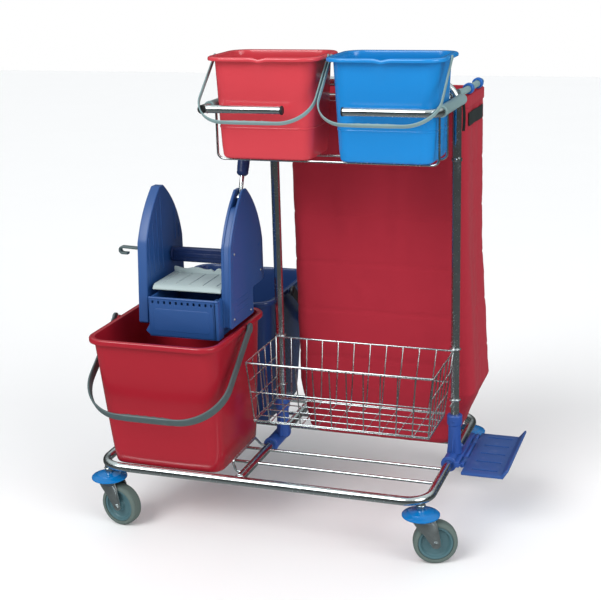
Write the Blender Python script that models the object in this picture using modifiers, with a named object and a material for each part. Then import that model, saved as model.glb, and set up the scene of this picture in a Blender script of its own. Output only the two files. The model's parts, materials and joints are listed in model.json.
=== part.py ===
"""Housekeeping cart with a bucket section, a wringer, a wire basket and a laundry bag.

Units are metres and +Z is up. Sizes are given in the cart's own frame: X runs along the
cart with 0 at the right upright, Y runs across it with 0 at the plane of the uprights,
and Z is 0 on the floor. The cart_origin empty moves that frame so that the origin of
the finished cart is the middle of its outer box, on the floor.
"""

import math

import bmesh
import bpy
from mathutils import Euler, Matrix, Vector

# Clearances
GAP = 0.0003
RUNNING_GAP = 0.0006
PASSING_GAP = 0.0015

# Heights that the rest follows: the wheels, the castor crowns and the base tubes
WHEEL_RADIUS = 0.050
CROWN_BOTTOM_RISE = 0.0025
CROWN_RISE = 0.0125
CROWN_TOP = 2 * WHEEL_RADIUS + CROWN_RISE
BASE_RISE = 0.0385
BASE_HEIGHT = CROWN_TOP + BASE_RISE

# Base: tube loop, cross tube and shelf rods
TUBE_RADIUS = 0.0105
BASE_LENGTH = 0.800
BASE_WIDTH = 0.541
BASE_BEND = 0.055
BASE_RIGHT = -0.003
CROSS_X = -0.448
ROD_RADIUS = 0.00375
ROD_PLACES = (-0.162, -0.080, 0.080, 0.162)
SOCKET_STUB_RADIUS = 0.0095
RAIL_WIRE_RADIUS = 0.003
RAIL_X = -0.4715
RAIL_FRONT_FOOT = -0.224
RAIL_TOP = (-0.245, -0.093)
RAIL_RISE = 0.034

# Castors
TYRE_WIDTH = 0.030
HUB_RADIUS = 0.0395
HUB_WIDTH = 0.025
AXLE_RADIUS = 0.004
CASTOR_TRAIL = 0.032
FORK_PLATE = 0.003
FORK_SIDE_GAP = 0.0022
BUMPER_RADIUS = 0.0425
BUMPER_DOME = 0.009
BUMPER_EDGE = 0.005
CROWN_RADIUS = 0.021
CASTOR_TURNS = {"front_left": -12.0, "front_right": 19.4, "rear_left": -8.0, "rear_right": 22.0}

# Uprights: one bent tube, and the two sockets it stands in
UPRIGHT_LEFT = -0.432
UPRIGHT_RIGHT = 0.0
UPRIGHT_TOP = BASE_HEIGHT + 0.894
UPRIGHT_BEND = 0.050
SOCKET_SLEEVE_RADIUS = 0.0150
SOCKET_COLLAR_RADIUS = 0.0180
SOCKET_COLLAR_HEIGHT = 0.024
SOCKET_TOP = BASE_HEIGHT + 0.107
SOCKET_CLAMP_RADIUS = 0.0185
SOCKET_CLAMP_LENGTH = 0.100
SOCKET_SEAT = BASE_HEIGHT + 0.023

# Foot plate at the right end
PLATE_HINGE_X = 0.030
PLATE_HINGE_RADIUS = 0.0055
PLATE_PIN_RADIUS = 0.0025
PLATE_REACH = 0.103
PLATE_FRONT = -0.101
PLATE_BACK = 0.145
PLATE_THICKNESS = 0.007
PLATE_TOP = BASE_HEIGHT + 0.007
PLATE_LIP_HEIGHT = 0.022
PLATE_LIP_REACH = 0.014
PLATE_SLOTS = 5
PLATE_SLOT_LENGTH = 0.060
PLATE_SLOT_WIDTH = 0.006
BRACKET_THICKNESS = 0.014
BRACKET_FRONT_INSET = 0.045
BRACKET_BACK_INSET = 0.010
KNUCKLE_SHARES = (0.30, 0.78)
KNUCKLE_LENGTH = 0.028
WEB_THICKNESS = 0.006
SLOT_INSET = 0.020

# Mop buckets
BUCKET_RIM_LENGTH = 0.328
BUCKET_RIM_DEPTH = 0.341
BUCKET_FOOT_LENGTH = 0.276
BUCKET_FOOT_DEPTH = 0.257
BUCKET_LEAN = 0.0185
BUCKET_HEIGHT = 0.326
BUCKET_WALL = 0.0035
BUCKET_FLANGE_WIDTH = 0.009
BUCKET_FLANGE_HEIGHT = 0.013
BUCKET_CORNER = 0.042
BUCKET_X = -0.634
FRONT_BUCKET_FOOT_FRONT = -0.2585
BUCKET_PARTING = 0.0045
BAIL_CLEARANCE = 0.008
BAIL_THICKNESS = 0.005
BAIL_DEPTH = 0.024
BAIL_REACH = 0.2716
BAIL_REST = 37.1
BAIL_CORNER = 0.105
BAIL_GRIP_LENGTH = 0.105
BAIL_PIN_RADIUS = 0.0035
BAIL_PIVOT_SHIFT = 0.020

# Pails on the top tray
PAIL_RIM_LENGTH = 0.258
PAIL_RIM_DEPTH = 0.190
PAIL_FOOT_LENGTH = 0.206
PAIL_FOOT_DEPTH = 0.150
PAIL_HEIGHT = 0.221
PAIL_BOTTOM = UPRIGHT_TOP - 0.157
PAIL_WALL = 0.0025
PAIL_FLANGE_WIDTH = 0.013
PAIL_FLANGE_HEIGHT = 0.009
PAIL_CORNER = 0.035
PAIL_Y = -0.130
BLUE_PAIL_X = -0.1105
RED_PAIL_X = -0.3795
PAIL_BAIL_CLEARANCE = 0.001
PAIL_BAIL_THICKNESS = 0.0030
PAIL_BAIL_DEPTH = 0.010
PAIL_BAIL_REACH = 0.190
PAIL_BAIL_REST = 40.5
PAIL_BAIL_CORNER = 0.070
PAIL_GRIP_LENGTH = 0.080
PAIL_PIN_RADIUS = 0.0025
PAIL_PIVOT_SHIFT = -0.015
SPOUT_WIDTH = 0.032
SPOUT_DROP = 0.022
SPOUT_REACH = 0.012

# Top tray: two bent bars, the rail behind the pails and two cradle wires
TRAY_HEIGHT = UPRIGHT_TOP - 0.044
TRAY_LEFT = -0.5035
TRAY_RIGHT = 0.0125
TRAY_BAR_RADIUS = 0.0095
TRAY_FRONT = -0.238
TRAY_BAR_BEND = 0.030
TRAY_LEFT_ARM = 0.180
TRAY_RIGHT_ARM = 0.203
SLEEVE_RADIUS = 0.0125
SLEEVE_TAIL = 0.001
CRADLE_RADIUS = 0.0027
CRADLE_PLACES = (-0.188, -0.112)
CRADLE_BEND = 0.014
CRADLE_INSET = 0.0085

# Wire basket
BASKET_TOP = BASE_HEIGHT + 0.274
BASKET_BOTTOM = BASKET_TOP - 0.1495
BASKET_TOP_LEFT = -0.437
BASKET_TOP_RIGHT = 0.000
BASKET_FOOT_LEFT = -0.425
BASKET_FOOT_RIGHT = -0.0126
BASKET_TOP_FRONT = -0.2215
BASKET_TOP_BACK = -0.0160
BASKET_FOOT_FRONT = -0.210
BASKET_FOOT_BACK = -0.055
BASKET_WIRE = 0.0030
BASKET_LONG_CELLS = 11
BASKET_SHORT_CELLS = 5

# Wringer: its heights start from the top of the front bucket's rim
RIM_TOP = BASE_HEIGHT + ROD_RADIUS + GAP + BUCKET_HEIGHT
HOUSING_THICKNESS = 0.024
HOUSING_RIGHT_X = -0.474
HOUSING_LEFT_X = -0.683
HOUSING_FRONT = -0.205
HOUSING_BACK = 0.012
HOUSING_BOTTOM = RIM_TOP + 0.01145
HOUSING_FRONT_SHOULDER = (-0.190, RIM_TOP + 0.19895)
HOUSING_BACK_SHOULDER = RIM_TOP + 0.17695
HOUSING_TOP = RIM_TOP + 0.31595
HOUSING_CREST = (-0.101, -0.080)
HOUSING_FRONT_BULGE = 0.010
HOUSING_BACK_BULGE = 0.016
HOUSING_STEP = (-0.062, RIM_TOP + 0.07495)
PANEL_LEFT = -0.665
PANEL_RIGHT = -0.4925
PANEL_FRONT = -0.235
PANEL_BACK = -0.068
PANEL_BOTTOM = RIM_TOP - 0.00705
PANEL_TOP = RIM_TOP + 0.08395
PANEL_WALL = 0.004
PANEL_SLOTS = 11
PANEL_SLOT_WIDTH = 0.005
PANEL_SLOT_HEIGHT = 0.007
HANGER_WIDTH = 0.018
HANGER_THICKNESS = 0.005
PRESS_PLATE_LEFT = -0.6695
PRESS_PLATE_FRONT = -0.200
PRESS_PLATE_BACK = -0.072
PRESS_PLATE_THICKNESS = 0.013
PRESS_PLATE_LIFT = 0.009
PRESS_WALL = 0.008
PRESS_WALL_TOP = RIM_TOP + 0.11895
PRESS_BAR_DEPTH = 0.018
PRESS_BAR_HEIGHT = 0.034
PRESS_BAR_BOTTOM = RIM_TOP + 0.12595
PRESS_BAR_Y = -0.053
PRESS_FLANGE_RADIUS = 0.018
LEVER_PIVOT = (-0.0926, RIM_TOP + 0.29395)
LEVER_SWING = 50.0
LEVER_REST = 22.0
LEVER_RADIUS = 0.005
LEVER_BOSS_RADIUS = 0.012
LEVER_LENGTH = 0.124
LEVER_SLOT = 0.012
LEVER_SLOT_EASE = 28.0
GRIP_RADIUS = 0.014
GRIP_START = 0.054
HOOK_PLACE = (-0.165, RIM_TOP + 0.17695)
HOOK_LENGTH = 0.054
HOOK_HEIGHT = 0.020
HOOK_THICKNESS = 0.012

# Laundry bag and what it hangs on
BAG_LEFT = -0.415
BAG_RIGHT = 0.012
BAG_FRONT = 0.034
BAG_BACK = 0.262
BAG_TOP = TRAY_HEIGHT - 0.003
BAG_WALL = 0.003
BAG_BULGE_HEIGHT = BASE_HEIGHT + 0.139
BAG_BULGE = 0.018
BAG_FOOT_INSET = 0.030
BAG_FOOT_TUCK = 0.020
BAG_CORNER = 0.035
BAG_ARM_RADIUS = 0.0075
BAG_ARM_BEND = 0.020
BAG_ARM_END = 0.232
CLIP_PLACES = (0.092, 0.196)
CLIP_WIDTH = 0.016
CLIP_RADIUS = 0.0125
STRAP_THICKNESS = 0.0016
STRAP_WIDTH = 0.030
STRAP_HEIGHT = BAG_TOP - 0.053

STEEL = ("steel", (0.62, 0.66, 0.66), 0.12, 1.0)
ZINC = ("zinc", (0.52, 0.56, 0.56), 0.35, 1.0)
SOCKET_BLUE = ("socket_blue", (0.020, 0.080, 0.330), 0.40, 0.0)
BUMPER_BLUE = ("bumper_blue", (0.001, 0.150, 0.430), 0.30, 0.0)
TYRE_GREY = ("tyre_grey", (0.090, 0.127, 0.114), 0.65, 0.0)
HUB_GREY = ("hub_grey", (0.061, 0.136, 0.156), 0.45, 0.0)
BUCKET_RED = ("bucket_red", (0.330, 0.010, 0.022), 0.30, 0.0)
BUCKET_BLUE = ("bucket_blue", (0.015, 0.045, 0.150), 0.35, 0.0)
BAIL_GREY = ("bail_grey", (0.061, 0.098, 0.102), 0.45, 0.0)
PAIL_RED = ("pail_red", (0.560, 0.047, 0.063), 0.30, 0.0)
PAIL_BLUE = ("pail_blue", (0.006, 0.216, 0.571), 0.30, 0.0)
SOFT_GREY = ("soft_grey", (0.195, 0.300, 0.305), 0.45, 0.0)
WRINGER_BLUE = ("wringer_blue", (0.017, 0.070, 0.235), 0.35, 0.0)
PLATE_GREY = ("plate_grey", (0.356, 0.440, 0.440), 0.45, 0.0)
NAVY = ("navy", (0.008, 0.022, 0.100), 0.40, 0.0)
BAG_RED = ("bag_red", (0.333, 0.008, 0.022), 0.55, 0.0)
STRAP_BLACK = ("strap_black", (0.010, 0.018, 0.020), 0.75, 0.0)

ROUND_SIDES = 24
AXIS_TURNS = {"X": (0.0, math.pi / 2, 0.0), "Y": (math.pi / 2, 0.0, 0.0), "Z": (0.0, 0.0, 0.0)}
SIDE_VIEW = Euler((math.pi / 2, 0.0, math.pi / 2)).to_matrix().to_4x4()
FRONT_VIEW = Euler((math.pi / 2, 0.0, 0.0)).to_matrix().to_4x4()


def clear_scene():
    """Remove every object the file starts with."""
    for old in list(bpy.data.objects):
        bpy.data.objects.remove(old, do_unlink=True)


def make_collection(name):
    group = bpy.data.collections.new(name)
    bpy.context.scene.collection.children.link(group)
    return group


clear_scene()
PARTS = make_collection("housekeeping_cart")
CUTTERS = make_collection("cutters")


def make_empty(name, place, parent=None, turn=(0.0, 0.0, 0.0)):
    """An axis that other pieces hang from, at a place in its parent's frame."""
    empty = bpy.data.objects.new(name, None)
    empty.location = place
    empty.rotation_euler = turn
    empty.parent = parent
    PARTS.objects.link(empty)
    return empty


LEFT_EDGE = BASE_RIGHT - BASE_LENGTH + BASE_BEND * (1 - math.sqrt(0.5)) - BUMPER_RADIUS
RIGHT_EDGE = PLATE_HINGE_X + PLATE_REACH + PLATE_LIP_REACH
FRONT_PIVOT_Y = FRONT_BUCKET_FOOT_FRONT + BUCKET_FOOT_DEPTH / 2 - BUCKET_LEAN + BAIL_PIVOT_SHIFT
BAIL_SWEEP = BAIL_REACH * math.cos(math.radians(BAIL_REST))
BUCKET_SPAN = BUCKET_RIM_DEPTH + BUCKET_PARTING
CENTRE_X = (LEFT_EDGE + RIGHT_EDGE) / 2
CENTRE_Y = FRONT_PIVOT_Y - BAIL_PIVOT_SHIFT + BUCKET_SPAN / 2
ROOT = make_empty("cart_origin", (-CENTRE_X, -CENTRE_Y, 0.0))


def material(finish):
    """The material of a finish, made on first use."""
    name, colour, roughness, metallic = finish
    found = bpy.data.materials.get(name)
    if found:
        return found
    made = bpy.data.materials.new(name)
    made.use_nodes = True
    shader = made.node_tree.nodes["Principled BSDF"]
    shader.inputs["Base Color"].default_value = (*colour, 1.0)
    shader.inputs["Roughness"].default_value = roughness
    shader.inputs["Metallic"].default_value = metallic
    return made


def place(data, name, finish, parent=None, location=(0.0, 0.0, 0.0)):
    """Put mesh or curve data in the cart as a named piece."""
    piece = bpy.data.objects.new(name, data)
    piece.location = location
    piece.parent = parent or ROOT
    if finish:
        data.materials.clear()
        data.materials.append(material(finish))
    PARTS.objects.link(piece)
    return piece


def mesh_from(bm, smooth=True):
    """Turn a bmesh into mesh data with smooth round faces and sharp edges."""
    bmesh.ops.recalc_face_normals(bm, faces=bm.faces)
    data = bpy.data.meshes.new("shape")
    bm.to_mesh(data)
    bm.free()
    if smooth:
        data.shade_smooth()
        data.set_sharp_from_angle(angle=math.radians(35))
    return data


def box_mesh(low, high):
    bm = bmesh.new()
    size = Vector(high) - Vector(low)
    centre = (Vector(high) + Vector(low)) / 2
    bmesh.ops.create_cube(bm, size=1.0, matrix=Matrix.Translation(centre) @ Matrix.Diagonal((*size, 1.0)))
    return mesh_from(bm, smooth=False)


def rounded_box_mesh(low, high, radius, segments=2):
    """A box whose edges are all rounded."""
    bm = bmesh.new()
    bm.from_mesh(box_mesh(low, high))
    bmesh.ops.bevel(bm, geom=bm.edges, offset=radius, segments=segments, profile=0.5, affect="EDGES")
    return mesh_from(bm)


def cylinder_mesh(radius, length, axis, centre=(0.0, 0.0, 0.0), end_radius=None, sides=ROUND_SIDES):
    """A cylinder or cone about an axis, with its middle at centre."""
    bm = bmesh.new()
    turn = Euler(AXIS_TURNS[axis]).to_matrix().to_4x4()
    bmesh.ops.create_cone(
        bm, cap_ends=True, segments=sides, radius1=radius, radius2=end_radius or radius,
        depth=length, matrix=Matrix.Translation(centre) @ turn)
    return mesh_from(bm)


def rounded_path(corners, radius, closed=False, steps=7):
    """The points of a path whose corners are arcs of one radius."""
    corners = [Vector(c) for c in corners]
    count = len(corners)
    path = []
    for i, corner in enumerate(corners):
        if not closed and i in (0, count - 1):
            path.append(corner)
            continue
        before = (corners[i - 1] - corner).normalized()
        after = (corners[(i + 1) % count] - corner).normalized()
        half = before.angle(after) / 2
        bisector = (before + after).normalized()
        centre = corner + bisector * radius / math.sin(half)
        start = corner + before * radius / math.tan(half) - centre
        end = corner + after * radius / math.tan(half) - centre
        sweep = start.angle(end)
        for k in range(steps + 1):
            t = k / steps
            arc = (start * math.sin((1 - t) * sweep) + end * math.sin(t * sweep)) / math.sin(sweep)
            path.append(centre + arc)
    return path


def tube_curve(points, radius, closed=False, resolution=4):
    """Curve data for a round tube along points, with filled ends."""
    data = bpy.data.curves.new("tube", "CURVE")
    data.dimensions = "3D"
    data.bevel_depth = radius
    data.bevel_resolution = resolution
    data.use_fill_caps = not closed
    spline = data.splines.new("POLY")
    spline.points.add(len(points) - 1)
    for target, point in zip(spline.points, points):
        target.co = (*point, 1.0)
    spline.use_cyclic_u = closed
    return data


def tube_mesh(points, radius, closed=False, resolution=4):
    """The same tube as a welded mesh, for pieces that are cut or joined."""
    return mesh_of_curve(tube_curve(points, radius, closed, resolution))


def mesh_of_curve(data):
    """A curve's evaluated shape as one welded mesh."""
    guide = bpy.data.objects.new("guide", data)
    bpy.context.scene.collection.objects.link(guide)
    graph = bpy.context.evaluated_depsgraph_get()
    mesh = bpy.data.meshes.new_from_object(guide.evaluated_get(graph))
    bpy.data.objects.remove(guide, do_unlink=True)
    bm = bmesh.new()
    bm.from_mesh(mesh)
    bmesh.ops.remove_doubles(bm, verts=bm.verts, dist=0.00001)
    return mesh_from(bm)


def outline_mesh(outlines, thickness, view, offset=(0.0, 0.0, 0.0)):
    """A flat plate from 2D outlines; later outlines are holes. The plate is centred."""
    data = bpy.data.curves.new("outline", "CURVE")
    data.dimensions = "2D"
    data.fill_mode = "BOTH"
    data.extrude = thickness / 2
    for outline in outlines:
        spline = data.splines.new("POLY")
        spline.points.add(len(outline) - 1)
        for target, point in zip(spline.points, outline):
            target.co = (point[0], point[1], 0.0, 1.0)
        spline.use_cyclic_u = True
    mesh = mesh_of_curve(data)
    mesh.transform(Matrix.Translation(offset) @ view)
    return mesh


def turned_mesh(profile, sides=ROUND_SIDES):
    """A closed solid of revolution about local Z from (radius, height) points."""
    bm = bmesh.new()
    ring = [bm.verts.new((r, 0.0, z)) for r, z in profile]
    edges = [bm.edges.new((ring[i], ring[(i + 1) % len(ring)])) for i in range(len(ring))]
    bmesh.ops.spin(
        bm, geom=ring + edges, cent=(0, 0, 0), axis=(0, 0, 1), angle=math.tau, steps=sides,
        use_merge=True)
    bmesh.ops.remove_doubles(bm, verts=bm.verts, dist=0.00001)
    return mesh_from(bm)


def combine(piece, tool_mesh, operation="UNION"):
    """Join or cut a piece with a tool shape given in the piece's own frame."""
    tool = bpy.data.objects.new(piece.name + "_tool", tool_mesh)
    tool.parent = piece.parent
    tool.location = piece.location
    tool.rotation_euler = piece.rotation_euler
    tool.hide_render = True
    tool.display_type = "WIRE"
    CUTTERS.objects.link(tool)
    step = piece.modifiers.new(operation.lower(), "BOOLEAN")
    step.operation = operation
    step.solver = "EXACT"
    step.object = tool
    return tool


def rounded_rectangle(length, depth, corner, steps=4):
    """The outline of a rounded rectangle about the origin."""
    x, y = length / 2, depth / 2
    corners = [(-x, -y, 0.0), (x, -y, 0.0), (x, y, 0.0), (-x, y, 0.0)]
    return rounded_path(corners, corner, closed=True, steps=steps)


def loft_shell(sections, wall):
    """An open-topped shell through (length, depth, corner, centre x, centre y, z) sections.

    The first section is closed as the floor; the wall grows inwards.
    """
    bm = bmesh.new()
    rings = []
    for length, depth, corner, cx, cy, z in sections:
        outline = rounded_rectangle(length, depth, corner)
        ring = [bm.verts.new((p.x + cx, p.y + cy, z)) for p in outline]
        for i in range(len(ring)):
            bm.edges.new((ring[i], ring[(i + 1) % len(ring)]))
        rings.append(ring)
    bm.faces.new(rings[0])
    for lower, upper in zip(rings, rings[1:]):
        span = {e for v in lower + upper for e in v.link_edges if not e.link_faces or e.is_boundary}
        edges = [e for e in span if all(v in lower for v in e.verts) or all(v in upper for v in e.verts)]
        bmesh.ops.bridge_loops(bm, edges=edges)
    bmesh.ops.recalc_face_normals(bm, faces=bm.faces)
    floor = min(bm.faces, key=lambda f: f.calc_center_median().z)
    if floor.normal.z > 0:
        bmesh.ops.reverse_faces(bm, faces=bm.faces)
    data = bpy.data.meshes.new("shell")
    bm.to_mesh(data)
    bm.free()
    return thickened(data, wall)


def thickened(data, wall):
    """A surface given an even wall on its inner side."""
    surface = bpy.data.objects.new("surface", data)
    bpy.context.scene.collection.objects.link(surface)
    wall_step = surface.modifiers.new("wall", "SOLIDIFY")
    wall_step.thickness = wall
    wall_step.offset = -1.0
    wall_step.use_even_offset = True
    graph = bpy.context.evaluated_depsgraph_get()
    mesh = bpy.data.meshes.new_from_object(surface.evaluated_get(graph))
    bpy.data.objects.remove(surface, do_unlink=True)
    bm = bmesh.new()
    bm.from_mesh(mesh)
    return mesh_from(bm)


# ---------------------------------------------------------------- base

def base_corner(side_x, side_y):
    """The middle of a base bend: side_x and side_y are -1 or 1."""
    inset = BASE_BEND * (1 - math.sqrt(0.5))
    x = BASE_RIGHT - inset if side_x > 0 else BASE_RIGHT - BASE_LENGTH + inset
    return x, side_y * (BASE_WIDTH / 2 - inset)


CASTOR_PLACES = {
    "front_left": base_corner(-1, -1),
    "front_right": base_corner(1, -1),
    "rear_left": base_corner(-1, 1),
    "rear_right": base_corner(1, 1),
}


def build_base():
    """The welded loop with its castor stubs, the cross tube, the rods and the bucket rail."""
    left, right = BASE_RIGHT - BASE_LENGTH, BASE_RIGHT
    side = BASE_WIDTH / 2
    corners = [(left, -side, BASE_HEIGHT), (right, -side, BASE_HEIGHT),
               (right, side, BASE_HEIGHT), (left, side, BASE_HEIGHT)]
    path = rounded_path(corners, BASE_BEND, closed=True, steps=6)
    loop = place(tube_mesh(path, TUBE_RADIUS, closed=True, resolution=4), "base_loop", STEEL)
    stub_bottom = CROWN_TOP + BUMPER_EDGE + BUMPER_DOME + 2 * GAP
    for x, y in CASTOR_PLACES.values():
        length = BASE_HEIGHT - stub_bottom
        stub = cylinder_mesh(SOCKET_STUB_RADIUS, length, "Z", (x, y, stub_bottom + length / 2), sides=24)
        combine(loop, stub)

    inner = side - TUBE_RADIUS - GAP
    cross_path = [(CROSS_X, -inner, BASE_HEIGHT), (CROSS_X, inner, BASE_HEIGHT)]
    cross = place(tube_mesh(cross_path, TUBE_RADIUS, resolution=4), "cross_tube", STEEL)
    for y in ROD_PLACES:
        bore = cylinder_mesh(
            ROD_RADIUS + GAP, 4 * TUBE_RADIUS, "X", (CROSS_X, y, BASE_HEIGHT), sides=16)
        combine(cross, bore, "DIFFERENCE")

    ends = (left + TUBE_RADIUS + GAP, right - TUBE_RADIUS - GAP)
    for number, y in enumerate(ROD_PLACES, 1):
        line = [(ends[0], y, BASE_HEIGHT), (ends[1], y, BASE_HEIGHT)]
        place(tube_curve(line, ROD_RADIUS, resolution=2), "shelf_rod_%d" % number, STEEL)

    foot_x = CROSS_X - TUBE_RADIUS - GAP
    top = BASE_HEIGHT + RAIL_RISE
    back_foot = -SOCKET_CLAMP_LENGTH / 2 - RAIL_WIRE_RADIUS - GAP
    rail = [(foot_x, RAIL_FRONT_FOOT, BASE_HEIGHT), (RAIL_X, RAIL_FRONT_FOOT, BASE_HEIGHT),
            (RAIL_X, RAIL_TOP[0], top), (RAIL_X, RAIL_TOP[1], top),
            (RAIL_X, back_foot, BASE_HEIGHT), (foot_x, back_foot, BASE_HEIGHT)]
    place(tube_curve(rounded_path(rail, 0.006, steps=4), RAIL_WIRE_RADIUS, resolution=2),
          "bucket_rail", STEEL)


def build_castor(corner, x, y):
    """One castor: fixed bumper disc, swivelling fork with its axle bolt, hub and tyre."""
    turn = math.radians(CASTOR_TURNS[corner])
    disc = [(0.0, CROWN_TOP + GAP), (BUMPER_RADIUS, CROWN_TOP + GAP),
            (BUMPER_RADIUS, CROWN_TOP + GAP + 0.8 * BUMPER_EDGE),
            (0.028, CROWN_TOP + GAP + BUMPER_EDGE + 0.6 * BUMPER_DOME),
            (SOCKET_STUB_RADIUS + 0.003, CROWN_TOP + GAP + BUMPER_EDGE + BUMPER_DOME),
            (0.0, CROWN_TOP + GAP + BUMPER_EDGE + BUMPER_DOME)]
    place(turned_mesh(disc), "bumper_" + corner, BUMPER_BLUE, location=(x, y, 0.0))

    swivel = make_empty("swivel_" + corner, (x, y, 0.0), ROOT, (0.0, 0.0, turn))
    inner = TYRE_WIDTH / 2 + FORK_SIDE_GAP
    crown_bottom = 2 * WHEEL_RADIUS + CROWN_BOTTOM_RISE
    crown = place(
        cylinder_mesh(CROWN_RADIUS, CROWN_TOP - crown_bottom, "Z", (0, 0, (CROWN_TOP + crown_bottom) / 2)),
        "fork_" + corner, ZINC, swivel)
    tip = 0.0105
    leg = [(-CROWN_RADIUS + 0.002, CROWN_TOP - 0.0005), (CASTOR_TRAIL - 0.004, CROWN_TOP - 0.0005)]
    for k in range(9):
        angle = math.radians(15 - k * 180 / 8)
        leg.append((CASTOR_TRAIL + tip * math.cos(angle), WHEEL_RADIUS + tip * math.sin(angle)))
    for sign in (-1, 1):
        cheek = outline_mesh([leg], FORK_PLATE, FRONT_VIEW, (0.0, sign * (inner + FORK_PLATE / 2), 0.0))
        combine(crown, cheek)
    bolt_length = 2 * (inner + FORK_PLATE + 0.003)
    axle_place = (CASTOR_TRAIL, 0.0, WHEEL_RADIUS)
    combine(crown, cylinder_mesh(AXLE_RADIUS, bolt_length, "Y", axle_place, sides=20))

    wheel = make_empty("wheel_" + corner, axle_place, swivel, AXIS_TURNS["Y"])
    half = HUB_WIDTH / 2
    bore = AXLE_RADIUS + RUNNING_GAP
    boss = half + 0.0015
    hub = [(bore, -boss), (0.012, -boss), (0.014, -half), (HUB_RADIUS, -half),
           (HUB_RADIUS, half), (0.014, half), (0.012, boss), (bore, boss)]
    place(turned_mesh(hub), "hub_" + corner, HUB_GREY, wheel)
    width = TYRE_WIDTH / 2
    inside = HUB_RADIUS + GAP
    tyre = [(inside, -width), (WHEEL_RADIUS - 0.004, -width), (WHEEL_RADIUS, -width + 0.008),
            (WHEEL_RADIUS, width - 0.008), (WHEEL_RADIUS - 0.004, width), (inside, width)]
    place(turned_mesh(tyre, sides=32), "tyre_" + corner, TYRE_GREY, wheel)


# ------------------------------------------------------------- uprights

def build_uprights():
    """The bent tube that stands in the two sockets."""
    foot = SOCKET_SEAT + GAP
    top = UPRIGHT_TOP - TUBE_RADIUS
    corners = [(UPRIGHT_LEFT, 0.0, foot), (UPRIGHT_LEFT, 0.0, top),
               (UPRIGHT_RIGHT, 0.0, top), (UPRIGHT_RIGHT, 0.0, foot)]
    path = rounded_path(corners, UPRIGHT_BEND, steps=6)
    place(tube_curve(path, TUBE_RADIUS, resolution=4), "upright_frame", STEEL)


def build_socket(name, upright_x, tube_x):
    """A moulded T: a clamp round a base tube and a sleeve round an upright's foot."""
    clamp = place(
        cylinder_mesh(SOCKET_CLAMP_RADIUS, SOCKET_CLAMP_LENGTH, "Y", (tube_x, 0.0, BASE_HEIGHT)),
        name, SOCKET_BLUE)
    body_height = SOCKET_TOP - BASE_HEIGHT
    combine(clamp, cylinder_mesh(
        SOCKET_SLEEVE_RADIUS, body_height, "Z", (upright_x, 0.0, BASE_HEIGHT + body_height / 2)))
    combine(clamp, cylinder_mesh(
        SOCKET_COLLAR_RADIUS, SOCKET_COLLAR_HEIGHT, "Z",
        (upright_x, 0.0, SOCKET_TOP - SOCKET_COLLAR_HEIGHT / 2 + 0.0005)))
    if name == "right_socket":
        build_bracket(clamp)
    combine(clamp, cylinder_mesh(
        TUBE_RADIUS + GAP, SOCKET_CLAMP_LENGTH + 0.1, "Y", (tube_x, 0.0, BASE_HEIGHT)), "DIFFERENCE")
    bore_height = SOCKET_TOP + 0.02 - SOCKET_SEAT
    combine(clamp, cylinder_mesh(
        TUBE_RADIUS + GAP, bore_height, "Z", (upright_x, 0.0, SOCKET_SEAT + bore_height / 2)),
        "DIFFERENCE")
    return clamp


def knuckle_spans():
    """Where the foot plate's own knuckles lie along Y; the bracket fills in between."""
    length = PLATE_BACK - PLATE_FRONT
    middles = [PLATE_FRONT + share * length for share in KNUCKLE_SHARES]
    half = KNUCKLE_LENGTH / 2
    return [(middle - half, middle + half) for middle in middles]


def build_bracket(clamp):
    """The bracket that carries the foot plate, with the hinge pin cast on it."""
    z = PLATE_TOP - PLATE_THICKNESS / 2
    inner = PLATE_HINGE_X - PLATE_HINGE_RADIUS - PASSING_GAP
    front, back = PLATE_FRONT + BRACKET_FRONT_INSET, PLATE_BACK - BRACKET_BACK_INSET
    arm = box_mesh((TUBE_RADIUS + 0.001, front, z - BRACKET_THICKNESS / 2),
                   (inner, back, z + BRACKET_THICKNESS / 2))
    combine(clamp, arm)
    spans = knuckle_spans()
    between = [(front, spans[0][0] - GAP), (spans[0][1] + GAP, spans[1][0] - GAP), (spans[1][1] + GAP, back)]
    for low, high in between:
        barrel = cylinder_mesh(
            PLATE_HINGE_RADIUS, high - low, "Y", (PLATE_HINGE_X, (low + high) / 2, z), sides=20)
        combine(clamp, barrel)
        web = box_mesh(
            (inner - 0.002, low, z - WEB_THICKNESS / 2), (PLATE_HINGE_X, high, z + WEB_THICKNESS / 2))
        combine(clamp, web)
    combine(clamp, cylinder_mesh(
        PLATE_PIN_RADIUS, back - front - 0.002, "Y", (PLATE_HINGE_X, (front + back) / 2, z), sides=16))


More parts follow.
